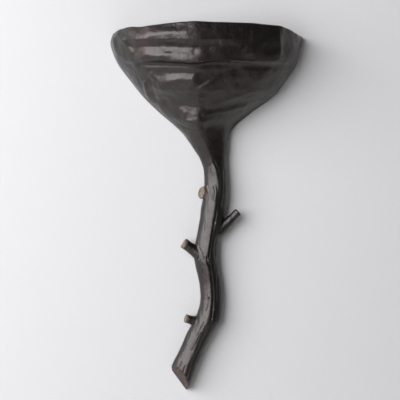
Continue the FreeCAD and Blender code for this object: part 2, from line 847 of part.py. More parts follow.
def make_lamp_bracket():
    """Steel angle: one leg on the plate, the other level under the lampholder."""
    back = "-(sizes.strap_lift + sizes.strap_thick + sizes.plate_thick)"
    front = f"({back} - sizes.arm_thick)"
    end = "(sizes.lamp_y - sizes.arm_reach)"
    body = padded("lamp_bracket", "YZ_Plane", [
        (back, "sizes.arm_top"),
        (back, "sizes.arm_bottom"),
        (end, "sizes.arm_bottom"),
        (end, "sizes.arm_bottom + sizes.arm_thick"),
        (front, "sizes.arm_bottom + sizes.arm_thick"),
        (front, "sizes.arm_top"),
    ], "2 * sizes.arm_half")
    base = body.Tip
    bends = []
    plate_front = -(size("strap_lift") + size("strap_thick") + size("plate_thick"))
    for number, edge in enumerate(base.Shape.Edges, start=1):
        ends = [vertex.Point for vertex in edge.Vertexes]
        level_run = abs(abs(ends[0].x - ends[1].x) - 2 * size("arm_half")) < 1e-6
        if level_run and abs(ends[0].y - plate_front) < 1e-6 and abs(ends[0].z - size("arm_bottom")) < 1e-6:
            bends.append(f"Edge{number}")
    fillet = body.newObject("PartDesign::Fillet", "lamp_bracket_bend")
    fillet.Base = (base, bends)
    fillet.setExpression("Radius", "sizes.arm_bend")
    body.Tip = fillet
    doc.recompute()
    circle_hole(body, "XY_Plane", "0", "sizes.lamp_y", "sizes.nipple_radius", "lamp_bracket_nipple_hole")
    circle_hole(body, "XZ_Plane", "0", "sizes.arm_screw_high", "sizes.arm_screw_radius", "lamp_bracket_high")
    circle_hole(body, "XZ_Plane", "0", "sizes.arm_screw_low", "sizes.arm_screw_radius", "lamp_bracket_low")
    return body


def make_lamp_bracket_screws():
    """Two screws through the plate into the bracket's upright leg."""
    screws = []
    for spot in ("high", "low"):
        screw = cross_screw(
            f"arm_screw_{spot}", "sizes.arm_screw_radius", "sizes.arm_screw_head",
            "sizes.plate_thick + sizes.arm_thick + 1",
        )
        place(screw, "0", "-(sizes.strap_lift + sizes.strap_thick)", f"sizes.arm_screw_{spot}")
        screws.append(screw)
    return group("lamp_bracket_screws", screws)


def make_nipple_parts():
    """Hollow threaded tube through bracket and holder, with its nut and lock washer."""
    nipple = turned("lamp_nipple", "XZ_Plane", [
        ("sizes.nipple_bore", "sizes.nipple_bottom"),
        ("sizes.nipple_radius", "sizes.nipple_bottom"),
        ("sizes.nipple_radius", "sizes.nipple_top"),
        ("sizes.nipple_bore", "sizes.nipple_top"),
    ])
    place(nipple, "0", "sizes.lamp_y", "0")
    washer = turned("nipple_lockwasher", "XZ_Plane", [
        ("sizes.nipple_radius", "-sizes.lockwasher_thick"),
        ("sizes.lockwasher_radius", "-sizes.lockwasher_thick"),
        ("sizes.lockwasher_radius", "0"),
        ("sizes.nipple_radius", "0"),
    ])
    place(washer, "0", "sizes.lamp_y", "sizes.arm_bottom")
    nut = hex_nut("nipple_nut", "sizes.nipple_nut_flats", "sizes.nipple_nut_thick", "sizes.nipple_radius")
    place(nut, "0", "sizes.lamp_y", "sizes.arm_bottom - sizes.lockwasher_thick - sizes.nipple_nut_thick")
    return [nipple, washer, nut]


def make_lampholder():
    """Two-part moulded lampholder with a porcelain insert, a brass sleeve and a centre contact."""
    seat = "(sizes.arm_bottom + sizes.arm_thick)"
    inside = "(sizes.holder_radius - sizes.holder_skin)"
    cap = turned("lampholder_cap", "XZ_Plane", [
        ("sizes.nipple_radius", seat),
        ("sizes.holder_boss", seat),
        ("sizes.holder_boss", f"{seat} + sizes.holder_boss_long"),
        ("sizes.holder_radius", f"{seat} + 11"),
        ("sizes.holder_radius", "sizes.holder_split"),
        (inside, "sizes.holder_split"),
        (inside, f"{seat} + 12"),
        ("sizes.nipple_radius", f"{seat} + 5.5"),
    ])
    shell = turned("lampholder_body", "XZ_Plane", [
        (inside, "sizes.holder_split"),
        ("sizes.holder_radius", "sizes.holder_split"),
        ("sizes.holder_radius", "sizes.holder_mouth - 1.5"),
        ("sizes.holder_radius - 1.5", "sizes.holder_mouth"),
        ("9", "sizes.holder_mouth"),
        ("9", "sizes.holder_mouth - 2"),
        (inside, "sizes.holder_mouth - 3"),
    ])
    insert = turned("lampholder_insert", "XZ_Plane", [
        ("0", "sizes.insert_bottom"),
        ("sizes.insert_radius", "sizes.insert_bottom"),
        ("sizes.insert_radius", "sizes.insert_top"),
        ("sizes.sleeve_radius", "sizes.insert_top"),
        ("sizes.sleeve_radius", "sizes.insert_seat"),
        ("0", "sizes.insert_seat"),
    ])
    sleeve = turned("lampholder_sleeve", "XZ_Plane", [
        ("sizes.sleeve_bore", "sizes.insert_seat"),
        ("sizes.sleeve_radius", "sizes.insert_seat"),
        ("sizes.sleeve_radius", "sizes.sleeve_top"),
        ("sizes.sleeve_bore", "sizes.sleeve_top"),
    ])
    sheet_thick = "sizes.contact_sheet"
    contact = padded("lampholder_contact", "XZ_Plane", [
        ("-sizes.contact_half", "0"),
        ("-sizes.contact_half + 2", "0"),
        ("-1.6", "0.8"),
        ("1.6", "0.8"),
        ("sizes.contact_half - 2", "0"),
        ("sizes.contact_half", "0"),
        ("sizes.contact_half", sheet_thick),
        ("sizes.contact_half - 2", sheet_thick),
        ("1.6", f"0.8 + {sheet_thick}"),
        ("-1.6", f"0.8 + {sheet_thick}"),
        ("-sizes.contact_half + 2", sheet_thick),
        ("-sizes.contact_half", sheet_thick),
    ], "sizes.contact_width")
    for piece in (cap, shell, insert, sleeve):
        place(piece, "0", "sizes.lamp_y", "0")
    place(contact, "0", "sizes.lamp_y", "sizes.insert_seat")
    return [cap, shell, insert, sleeve, contact]


# ---------------------------------------------------------------- bulb


def make_bulb_glass():
    """Hollow round envelope with a cone down to its cap."""
    solids = []
    for skin, thinner in (("outer", "0"), ("inner", "sizes.glass_thick")):
        globe = doc.addObject("Part::Sphere", f"globe_{skin}")
        globe.setExpression("Radius", f"sizes.globe_radius - {thinner}")
        place(globe, "0", "0", "sizes.globe_level")
        cone = doc.addObject("Part::Cone", f"globe_cone_{skin}")
        cone.setExpression("Radius1", f"sizes.glass_neck_radius - {thinner}")
        cone.setExpression("Radius2", f"sizes.glass_cone_radius - {thinner}")
        cone.setExpression("Height", "sizes.glass_cone_top - sizes.bulb_cap_top")
        place(cone, "0", "0", "sizes.bulb_cap_top")
        joined = doc.addObject("Part::Fuse", f"globe_{skin}_joined")
        joined.Base = globe
        joined.Tool = cone
        solids.append(joined)
    glass = doc.addObject("Part::Cut", "bulb_glass")
    glass.Base = solids[0]
    glass.Tool = solids[1]
    place(glass, "0", "sizes.lamp_y", "0")
    doc.recompute()
    return glass


def make_bulb_inside():
    """Glass mount in the middle of the bulb and the four filaments that lean out from it."""
    mount = turned("bulb_mount", "XZ_Plane", [
        ("0", "sizes.bulb_cap_top"),
        ("sizes.mount_radius * 1.6", "sizes.bulb_cap_top"),
        ("sizes.mount_radius", "sizes.bulb_cap_top + 6"),
        ("sizes.mount_radius * 0.6", "sizes.mount_top"),
        ("0", "sizes.mount_top"),
    ])
    place(mount, "0", "sizes.lamp_y", "0")
    rods = []
    long = size("filament_top") - size("mount_top")
    lean = math.degrees(math.atan2(size("filament_circle"), long))
    for number in range(4):
        turn = 45 + 90 * number
        rod = doc.addObject("Part::Cylinder", f"filament_{number + 1}")
        rod.setExpression("Radius", "sizes.filament_radius")
        rod.setExpression("Height", "sizes.filament_top - sizes.mount_top")
        upright = FreeCAD.Rotation(Vector(0, 0, 1), turn)
        tilt = FreeCAD.Rotation(Vector(0, 1, 0), lean)
        rod.Placement = FreeCAD.Placement(Vector(0, 0, 0), upright.multiply(tilt))
        place(
            rod, f"2.6 * cos({turn} deg)", f"sizes.lamp_y + 2.6 * sin({turn} deg)", "sizes.mount_top - 0.6"
        )
        rods.append(rod)
    return [mount, group("bulb_filaments", rods)]


def make_bulb_cap():
    """Screw cap of the bulb, the dark insulator under it and the contact tip."""
    cap = turned("bulb_cap", "XZ_Plane", [
        ("sizes.bulb_cap_radius - 0.5", "sizes.insulator_top"),
        ("sizes.bulb_cap_radius", "sizes.insulator_top + 0.5"),
        ("sizes.bulb_cap_radius", "sizes.bulb_skirt_bottom"),
        ("sizes.bulb_skirt_radius", "sizes.bulb_skirt_bottom + 0.8"),
        ("sizes.bulb_skirt_radius", "sizes.bulb_cap_top"),
        ("sizes.bulb_cap_radius - 0.5", "sizes.bulb_cap_top"),
    ])
    insulator = turned("bulb_insulator", "XZ_Plane", [
        ("0", "sizes.tip_bottom + sizes.tip_thick"),
        ("sizes.tip_radius", "sizes.tip_bottom + sizes.tip_thick"),
        ("sizes.bulb_cap_radius - 0.5", "sizes.insulator_top"),
        ("0", "sizes.insulator_top"),
    ])
    tip = turned("bulb_tip", "XZ_Plane", [
        ("0", "sizes.tip_bottom"),
        ("sizes.tip_radius * 0.6", "sizes.tip_bottom"),
        ("sizes.tip_radius", "sizes.tip_bottom + sizes.tip_thick"),
        ("0", "sizes.tip_bottom + sizes.tip_thick"),
    ])
    for piece in (cap, insulator, tip):
        place(piece, "0", "sizes.lamp_y", "0")
    return [cap, insulator, tip]


# ---------------------------------------------------------------- wiring


def make_terminal_block():
    """Moulded block with three brass ways, their screws and the screw that holds it."""
    plate_front = "-(sizes.strap_lift + sizes.strap_thick + sizes.plate_thick)"
    block = doc.addObject("Part::Box", "block_blank")
    block.setExpression("Length", "sizes.block_width")
    block.setExpression("Width", "sizes.block_depth")
    block.setExpression("Height", "sizes.block_height")
    place(
        block, "sizes.block_x - sizes.block_width / 2", f"{plate_front} - sizes.block_depth", "sizes.block_bottom"
    )
    hollows = []
    clamps = []
    screws = []
    middle = f"({plate_front} - sizes.block_depth / 2)"
    for number, step in enumerate((-1, 0, 1), start=1):
        x = f"sizes.block_x + {step} * sizes.way_pitch"
        hollow = doc.addObject("Part::Cylinder", f"way_hollow_{number}")
        hollow.setExpression("Radius", "sizes.clamp_radius")
        hollow.setExpression("Height", "sizes.block_height")
        place(hollow, x, middle, "sizes.block_bottom")
        hollows.append(hollow)
        clamps.append(make_clamp(number, x, middle))
        access = doc.addObject("Part::Cylinder", f"way_access_{number}")
        access.setExpression("Radius", "sizes.clamp_screw_radius + 0.3")
        access.setExpression("Height", "sizes.block_depth / 2")
        access.Placement = FreeCAD.Placement(Vector(0, 0, 0), FreeCAD.Rotation(Vector(1, 0, 0), 90))
        place(access, x, middle, "sizes.block_bottom + sizes.block_height / 2 + 3")
        hollows.append(access)
        screw = turned(f"way_screw_{number}", "XY_Plane", [
            ("0", "0"),
            ("sizes.clamp_screw_radius", "0"),
            ("sizes.clamp_screw_radius", "-4"),
            ("0", "-4"),
        ])
        place(screw, x, f"{middle} - sizes.way_bore", "sizes.block_bottom + sizes.block_height / 2 + 3")
        screws.append(screw)
    fixing_x = "sizes.block_x + sizes.way_pitch / 2"
    fixing_z = "sizes.block_bottom + sizes.block_height / 2"
    hole = doc.addObject("Part::Cylinder", "block_fixing_hole")
    hole.setExpression("Radius", "sizes.block_screw_radius")
    hole.setExpression("Height", "sizes.block_depth")
    hole.Placement = FreeCAD.Placement(Vector(0, 0, 0), FreeCAD.Rotation(Vector(1, 0, 0), 90))
    place(hole, fixing_x, plate_front, fixing_z)
    hollows.append(hole)
    tools = doc.addObject("Part::MultiFuse", "block_hollows")
    tools.Shapes = hollows
    body = doc.addObject("Part::Cut", "terminal_block")
    body.Base = block
    body.Tool = tools
    fixing = turned("terminal_block_screw", "XY_Plane", [
        ("0", "0"),
        ("sizes.block_screw_radius", "0"),
        ("sizes.block_screw_radius", "-(sizes.block_depth + sizes.plate_thick)"),
        ("2", "-(sizes.block_depth + sizes.plate_thick)"),
        ("2", "-(sizes.block_depth + sizes.plate_thick + 1.2)"),
        ("0", "-(sizes.block_depth + sizes.plate_thick + 1.2)"),
    ])
    place(fixing, fixing_x, "-(sizes.strap_lift + sizes.strap_thick)", fixing_z)
    doc.recompute()
    return [body, group("terminal_clamps", clamps), group("terminal_screws", screws), fixing]


def make_clamp(number, x, middle):
    """One brass way: a short tube with a threaded cross hole for its screw."""
    tube = doc.addObject("Part::Cylinder", f"clamp_tube_{number}")
    tube.setExpression("Radius", "sizes.clamp_radius")
    tube.setExpression("Height", "sizes.clamp_long")
    bore = doc.addObject("Part::Cylinder", f"clamp_bore_{number}")
    bore.setExpression("Radius", "sizes.way_bore")
    bore.setExpression("Height", "sizes.clamp_long")
    cross = doc.addObject("Part::Cylinder", f"clamp_cross_{number}")
    cross.setExpression("Radius", "sizes.clamp_screw_radius")
    cross.setExpression("Height", "sizes.clamp_radius + 1")
    cross.Placement = FreeCAD.Placement(Vector(0, 0, 0), FreeCAD.Rotation(Vector(1, 0, 0), 90))
    place(cross, "0", "0", "sizes.clamp_long / 2 + 3")
    tools = doc.addObject("Part::Fuse", f"clamp_tools_{number}")
    tools.Base = bore
    tools.Tool = cross
    clamp = doc.addObject("Part::Cut", f"clamp_{number}")
    clamp.Base = tube
    clamp.Tool = tools
    place(clamp, x, middle, "sizes.block_bottom + (sizes.block_height - sizes.clamp_long) / 2")
    return clamp


def make_earth_point():
    """Screw in the plate that holds the ring tag of the earth lead."""
    plate_front = "-(sizes.strap_lift + sizes.strap_thick + sizes.plate_thick)"
    screw = turned("earth_screw", "XY_Plane", [
        ("0", "sizes.plate_thick"),
        ("sizes.earth_screw_radius", "sizes.plate_thick"),
        ("sizes.earth_screw_radius", "-sizes.tag_thick"),
        ("sizes.earth_head_radius", "-sizes.tag_thick"),
        ("sizes.earth_head_radius", "-sizes.tag_thick - 1.2"),
        ("sizes.earth_head_radius * 0.6", "-sizes.tag_thick - 2"),
        ("0", "-sizes.tag_thick - 2"),
    ])
    place(screw, "sizes.earth_x", plate_front, "sizes.earth_z")
    ring = doc.addObject("Part::Cylinder", "tag_ring")
    ring.setExpression("Radius", "sizes.tag_radius")
    ring.setExpression("Height", "sizes.tag_thick")
    ring.Placement = FreeCAD.Placement(Vector(0, 0, 0), FreeCAD.Rotation(Vector(1, 0, 0), 90))
    tail = doc.addObject("Part::Box", "tag_tail")
    tail.Length = 3
    tail.setExpression("Width", "sizes.tag_thick")
    tail.Height = 8
    place(tail, "-1.5", "-sizes.tag_thick", "-8")
    barrel = doc.addObject("Part::Cylinder", "tag_barrel")
    barrel.Radius = 1.8
    barrel.Height = 5
    place(barrel, "0", "-1.8", "-12")
    blank = doc.addObject("Part::MultiFuse", "tag_blank")
    blank.Shapes = [ring, tail, barrel]
    hole = doc.addObject("Part::Cylinder", "tag_hole")
    hole.setExpression("Radius", "sizes.earth_screw_radius")
    hole.setExpression("Height", "sizes.tag_thick")
    hole.Placement = FreeCAD.Placement(Vector(0, 0, 0), FreeCAD.Rotation(Vector(1, 0, 0), 90))
    tag = doc.addObject("Part::Cut", "earth_tag")
    tag.Base = blank
    tag.Tool = hole
    place(tag, "sizes.earth_x", plate_front, "sizes.earth_z")
    doc.recompute()
    return [screw, tag]


def lead(name, route):
    """An insulated lead: straight runs joined by tangent arcs as large as the runs allow."""
    points = [Vector(*point) for point in route]
    radius = size("lead_radius")
    edges = []
    start = points[0]
    radii = []
    for before, corner, after in zip(points, points[1:], points[2:]):
        arriving = corner - before
        leaving = after - corner
        turn = arriving.getAngle(leaving)
        if turn < 1e-3:
            continue
        trim = 0.45 * min(arriving.Length, leaving.Length)
        radii.append(trim / math.tan(turn / 2))
        first = corner - arriving.normalize() * trim
        last = corner + leaving.normalize() * trim
        bisector = (leaving - arriving).normalize()
        centre = corner + bisector * math.hypot(radii[-1], trim)
        middle = centre - bisector * radii[-1]
        edges.append(Part.makeLine(start, first))
        edges.append(Part.Arc(first, middle, last).toShape())
        start = last
    edges.append(Part.makeLine(start, points[-1]))
    path = Part.Wire(edges)
    ring = Part.Wire(Part.makeCircle(radius, points[0], points[1] - points[0]))
    tube = path.makePipeShell([ring], True, False)
    expected = math.pi * radius**2 * path.Length
    print(name, "arc radii", [round(value, 1) for value in radii], "length", round(path.Length, 1))
    if abs(tube.Volume / expected - 1) > 0.01:
        raise RuntimeError(name + " has the wrong volume")
    return casting(name, tube)


# ---------------------------------------------------------------- assembly


def check(items):
    """Stop if any object failed or any piece isn't a sound shape."""
    for item in doc.Objects:
        for word in item.State:
            if word in ("Invalid", "Error"):
                raise RuntimeError(item.Label + " failed: " + word)
    for item in items:
        if item.Shape.isNull() or not item.Shape.isValid() or item.Shape.Volume <= 0:
            raise RuntimeError(item.Label + " has no sound shape")


def export(items):
    """Write each piece to a file that bears its name."""
    os.makedirs("parts", exist_ok=True)
    for item in items:
        item.Shape.exportStep(f"parts/{item.Label}.step")
        solids = len(item.Shape.Solids)
        print(f"{item.Label}: {solids} solid(s), {item.Shape.Volume:.0f} mm3")


fill_sheet()
pieces = [make_bowl(), make_stem()]
pieces += make_neck_parts()
pieces += [make_wall_bracket(), make_mounting_studs(), make_cap_nuts(), make_back_plate()]
pieces += [make_back_plate_screws(), make_stem_pads(), make_cable_grommet()]
pieces += [make_lamp_bracket(), make_lamp_bracket_screws()]
pieces += make_nipple_parts()
pieces += make_lampholder()
pieces += [make_bulb_glass()]
pieces += make_bulb_inside()
pieces += make_bulb_cap()
pieces += make_terminal_block()
pieces += make_earth_point()
pieces += [lead("live_lead", LIVE_ROUTE), lead("neutral_lead", NEUTRAL_ROUTE), lead("earth_lead", EARTH_ROUTE)]
doc.recompute()
check(pieces)
export(pieces)
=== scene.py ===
import math

import bmesh
import bpy
import numpy as np
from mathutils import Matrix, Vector, noise
from mathutils.bvhtree import BVHTree


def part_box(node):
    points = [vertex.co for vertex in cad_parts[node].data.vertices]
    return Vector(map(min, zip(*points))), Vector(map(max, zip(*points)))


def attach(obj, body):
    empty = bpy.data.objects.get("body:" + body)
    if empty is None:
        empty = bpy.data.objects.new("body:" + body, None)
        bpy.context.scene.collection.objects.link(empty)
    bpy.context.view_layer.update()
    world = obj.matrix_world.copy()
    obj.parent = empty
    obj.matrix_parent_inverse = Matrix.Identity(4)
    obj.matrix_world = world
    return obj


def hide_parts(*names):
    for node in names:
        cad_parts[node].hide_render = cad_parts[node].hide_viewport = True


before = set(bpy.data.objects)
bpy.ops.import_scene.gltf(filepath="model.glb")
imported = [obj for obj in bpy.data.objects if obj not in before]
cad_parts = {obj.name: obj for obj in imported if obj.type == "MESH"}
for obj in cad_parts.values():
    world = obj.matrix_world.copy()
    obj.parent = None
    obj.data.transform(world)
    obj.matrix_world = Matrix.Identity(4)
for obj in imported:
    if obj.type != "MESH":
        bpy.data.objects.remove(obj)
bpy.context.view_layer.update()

# ---------------------------------------------------------------------------
# Bowl. A half bowl of cast bronze about 5 mm thick, modelled by hand in wax, so
# that four soft folds run round its front. It is open at the top and at the
# wall, and its neck is solid where the branch is bolted on.

# Sizes are millimetres until a mesh is made. A level is a height, and an angle runs
# round the front from the right edge, 0, to the left edge, 180 degrees.
MM = 0.001
FRONT = math.pi / 2

# level, left edge, right edge, depth from the wall, as in the casting's pattern
BOWL_ROWS = [
    (80, -147, 152, 126), (64, -153, 151.5, 126), (53, -151.5, 148, 124.5),
    (28, -141, 142, 118), (2, -121.5, 125, 104), (-23, -101.5, 105, 88),
    (-48, -76, 71, 69), (-73, -47, 42, 50), (-92, -31, 34.5, 39), (-118, -13.5, 30.5, 31),
]
# level, x of the front crest
BOWL_CREST = [(80, -14), (-73, -11), (-92, -6), (-118, 5)]
# x, level of the rim above it
RIM_LINE = [
    (-170, 66), (-154, 67), (-147, 71.5), (-135, 74.5), (-118, 74.6), (-95, 72.6), (-70, 74.3),
    (-20, 75), (60, 75), (110, 75), (126, 73), (138, 70), (146, 69.6), (152, 71.5), (170, 72),
]
# where the rim's x is read, where the bowl begins to turn into the neck, the floor of the
# hollow, and the joint between neck and branch
RIM_LEVEL = 75
NECK_LEVEL = -60
FLOOR_LEVEL = -86
JOINT_LEVEL = -118
WALL_THICK = 5
LIP_HEIGHT = 2.2
# the branch's own section: y of its flat back, y of its waist, how far round it goes on
BRANCH_BACK = -2
BRANCH_WAIST = -12
BRANCH_TURN = math.radians(38)
# below this a sine or a length counts as nothing
SMALLEST = 1e-6


def smooth_step(value, low=0.0, high=1.0):
    """0 at low, 1 at high and an even slope between, for numbers and arrays alike."""
    held = np.clip((value - low) / (high - low), 0.0, 1.0)
    return held * held * (3 - 2 * held)


def eased(rows, level, column=1):
    """The smooth curve through one column of an outline."""
    descending = rows[0][0] > rows[-1][0]
    ordered = rows if descending else rows[::-1]
    last = len(ordered) - 1
    number = 0
    while number < last - 1 and level < ordered[number + 1][0]:
        number += 1
    high, low = ordered[number], ordered[number + 1]
    above, below = ordered[max(number - 1, 0)], ordered[min(number + 2, last)]
    span = low[0] - high[0]
    part = (level - high[0]) / span
    slope_high = span * (low[column] - above[column]) / (low[0] - above[0])
    slope_low = span * (below[column] - high[column]) / (below[0] - high[0])
    return (
        (2 * part**3 - 3 * part**2 + 1) * high[column]
        + (part**3 - 2 * part**2 + part) * slope_high
        + (3 * part**2 - 2 * part**3) * low[column]
        + (part**3 - part**2) * slope_low
    )


def neck_share(level):
    """0 in the bowl, 1 at the joint, where the section is the branch's."""
    return float(smooth_step(level, NECK_LEVEL, JOINT_LEVEL))


def section_point(angle, left, crest, right, depth, share, raised):
    """x and y on a section: two quarter ovals in front, and sides that run on to the back.

    A share of 0 has no sides behind the wall plane, as in the bowl; 1 is the branch's own.
    """
    waist, back, turn = BRANCH_WAIST * share, BRANCH_BACK * share, BRANCH_TURN * share
    side = right - crest if math.cos(angle) > 0 else crest - left
    x = crest + side * math.cos(angle)
    if math.sin(angle) > -SMALLEST:
        y = waist - (depth + waist) * math.sin(angle)
    else:
        bent = -angle if angle < 0 else angle - math.pi
        y = waist + (back - waist) * bent / turn
    return x + raised * math.cos(angle), y - raised * math.sin(angle)


def casting_point(level, angle, inset=0.0):
    """A point of the bowl or neck in millimetres, folds and all."""
    left, right, depth = [eased(BOWL_ROWS, level, column) for column in (1, 2, 3)]
    x, y = section_point(
        angle, left + inset, eased(BOWL_CREST, level), right - inset, depth - inset,
        neck_share(level), fold(level, angle),
    )
    return x, y, level


# Folds, from the rim down: level, height left of the crest, height right of it, where 1
# is a fold's crest and -1 a groove. Each fold climbs a little toward the wall.
FOLD_TURNS = [
    (96, -0.6, 0), (86, -0.9, 0), (48, 1.1, 0.4), (38, -0.5, 0.3), (17, 1, 0.8), (10.5, -0.9, -0.7),
    (2, -1, -0.3), (-24, 1.25, 0.2), (-34, -0.6, -0.1), (-43, -0.9, -0.3), (-67, 1.3, 0.3),
    (-76, -0.5, -0.3), (-94, 0, 0),
]
FOLD_HEIGHT, FOLD_RISE = 4.0, 11
# How straight the slope between a crest and a groove is, from 0 to 1.
FOLD_FLATNESS = 0.6
# How soon a fold dies out round the sides, as a power of the sine.
FOLD_FADE = 1.5
# The right-hand heights hold from the second of these angles on.
FOLD_SIDES = (FRONT + 0.15, FRONT - 0.55)
# A low ridge runs down the front of bowl and branch.
CREST_HEIGHT, CREST_HALF_TURN = 2, 0.35
# Two soft pleats down the right of the front: degrees from the right edge, height; their
# half width in degrees, and the levels over which they set in.
PLEATS = [(60.5, 1.6), (41.5, 1.9)]
PLEAT_HALF_TURN = 4.5
PLEAT_LEVELS = (20, 34)
# The rim is drawn in before it runs out to its point at the right: degrees, half width,
# depth, and the levels over which the hollow sets in.
TIP_HOLLOW = (19, 13, 2.4)
TIP_LEVELS = (44, 60)


def bell(value, centre, half_width):
    """1 at the centre, falling away softly to either side."""
    return math.exp(-(((value - centre) / half_width) ** 2))


def fold(level, angle):
    """Height of the folds, the pleats and the front crest, in millimetres."""
    turned_level = level - FOLD_RISE * math.cos(angle) ** 2
    to_right = float(smooth_step(angle, *FOLD_SIDES))
    degrees = math.degrees(angle)
    height = CREST_HEIGHT * bell(angle, FRONT, CREST_HALF_TURN)
    for above, below in zip(FOLD_TURNS, FOLD_TURNS[1:]):
        if below[0] <= turned_level < above[0]:
            first = above[1] + (above[2] - above[1]) * to_right
            second = below[1] + (below[2] - below[1]) * to_right
            straight = (above[0] - turned_level) / (above[0] - below[0])
            share = FOLD_FLATNESS * straight + (1 - FOLD_FLATNESS) * float(smooth_step(straight))
            fade = max(math.sin(angle), 0.0) ** FOLD_FADE
            height += FOLD_HEIGHT * (first + (second - first) * share) * fade
    for turn, high in PLEATS:
        height += high * float(smooth_step(level, *PLEAT_LEVELS)) * bell(degrees, turn, PLEAT_HALF_TURN)
    turn, half_width, depth = TIP_HOLLOW
    return height - depth * float(smooth_step(level, *TIP_LEVELS)) * bell(degrees, turn, half_width)


# Marks of the modeller's thumb, as seen from the front: height, half width, and
# the line that each follows, in millimetres.
BOWL_STROKES = [
    (-1.8, 3.6, [(-104, 18), (-86, 15.2), (-63, 12.6), (-26, 12.2), (8, 12.6), (30, 14)]),
    (0.7, 2.6, [
        (-26, 15.2), (-2, 16.2), (37, 18.4), (76, 17.8), (98, 19.6), (110, 28), (111.5, 41),
        (108.5, 58), (107, 76),
    ]),
    (-0.9, 5.0, [(-2, 11), (37, 12.4), (76, 12), (104, 14)]),
    (0.6, 2.6, [(68.5, 74), (68, 52), (66, 30)]),
    (-0.9, 8.0, [(88, 36), (102, 40)]),
    (-1.2, 4.0, [(-70, 41), (-50, 39), (-30, 37), (-8, 38), (16, 42)]),
    (3.4, 12.0, [(-66, -64), (-44, -72), (-12, -72)]),
    (1.6, 12.0, [(-48, -78), (-30, -80)]),
    (-2.6, 10.0, [(-64, -38), (-38, -40), (-8, -44)]),
    (1.6, 9.0, [(-104, 52), (-84, 58), (-60, 59), (-34, 58)]),
    (1.5, 7.0, [(-96, 30), (-78, 27), (-60, 28)]),
    (-1.4, 6.0, [(-60, 34), (-40, 33), (-20, 31)]),
    (-1.4, 6.0, [(-20, -20), (-5, -10), (9, -2), (30, 4), (44, 8)]),
    (0.9, 5.5, [(-8, -19), (8, -12.5), (22, -7), (36, -3)]),
    (1.7, 8.0, [(-60, -8), (-44, -6), (-24, -8)]),
    (0.9, 3.4, [(-4, -58), (14, -55), (34, -51), (60, -43)]),
    (-0.8, 4.4, [(0, -50), (20, -48), (42, -43), (62, -36)]),
    (0.9, 3.6, [(2, -46), (24, -39), (46, -31), (68, -24)]),
    (1.3, 4.0, [(-137, 66), (-131, 57), (-124, 47), (-115, 37)]),
    (-1.1, 6.0, [(-129, 66), (-123, 56), (-115, 45)]),
    (1.4, 4.0, [(-146, 62), (-143, 50), (-138, 36)]),
    (1.9, 3.0, [(-98, -8), (-94.5, -22), (-89, -36)]),
    (-1.5, 4.6, [(-89, -8), (-86, -20), (-81, -33)]),
    (1.3, 5.0, [(-86, 2), (-76, -8), (-70, -22)]),
    (-1.2, 7.0, [(-104, 2), (-92, -4), (-80, -10)]),
    (1.2, 6.0, [(-60, -36), (-48, -48), (-36, -56)]),
    (0.9, 7.0, [(70, -8), (84, -2), (96, 4)]),
    (-1.0, 8.0, [(50, -12), (70, -15), (92, -8)]),
    (-0.5, 1.2, [(-52, 76), (-51, 66), (-50.5, 57), (-49.3, 44)]),
    (-0.5, 1.1, [(-46.4, 76), (-46, 60), (-44.8, 42)]),
]
# How steeply a stroke falls off; at its half width about a quarter of it is left.
STROKE_EDGE = 1.4


def stroke_heights(x, z, strokes):
    """Sum of the strokes at points seen from the front, each fading across its half width."""
    total = np.zeros_like(x)
    for height, half_width, line in strokes:
        nearest = np.full_like(x, np.inf)
        for (ax, az), (bx, bz) in zip(line, line[1:]):
            run_x, run_z = bx - ax, bz - az
            part = np.clip(((x - ax) * run_x + (z - az) * run_z) / (run_x**2 + run_z**2), 0, 1)
            off = np.hypot(x - ax - part * run_x, z - az - part * run_z)
            nearest = np.minimum(nearest, off)
        total += height * np.exp(-((nearest / half_width) ** 2) * STROKE_EDGE)
    return total


def grid_normals(points):
    """Outward normals of a grid of points (rows down, columns round the front)."""
    down = np.gradient(points, axis=0)
    around = np.gradient(points, axis=1)
    normals = np.cross(around, down)
    return normals / np.maximum(np.linalg.norm(normals, axis=2, keepdims=True), SMALLEST)


def lumps(points, size, seed):
    """Soft noise at points in millimetres, with lumps about as wide as size."""
    flat = points.reshape(-1, 3) / size + seed
    heights = [noise.noise(Vector(point)) for point in flat.tolist()]
    return np.array(heights).reshape(points.shape[:-1])


# Either side of a line down the front the wax falls away, so that the light breaks there
# as on a soft corner. The line wanders from side to side on its way down: level, x.
CORNER_LINE = [
    (80, -22), (60, -21), (48, -24), (32, -27), (20, -24), (8, -18), (-12, -20), (-34, -15),
    (-58, -9), (-76, -10), (-92, -6), (-118, 5),
]
# How far it falls, over what width, where the fall is made up again, how round the corner
# itself is, and the levels over which it sets in above the joint.
CORNER_DEPTH, CORNER_WIDTH, CORNER_REACH, CORNER_ROUNDING = 4.2, 24, 78, 12
CORNER_LEVELS = (-116, -66)
# Unevenness of the wax: height, size, seed of the noise, and the levels over which it
# sets in above the joint. Only the first is felt on the inside too.
BROAD_LUMPS = (1.3, 26, 1.3, (-116, -96))
FINE_LUMPS = [(0.55, 11, 5.2, (-117, -109)), (0.2, 4, 2.6, (-117, -109))]
# Depths from the wall over which the marks and the unevenness set in.
STROKE_DEPTHS, PRESSED_DEPTHS = (0, -25), (-0.5, -12.5)


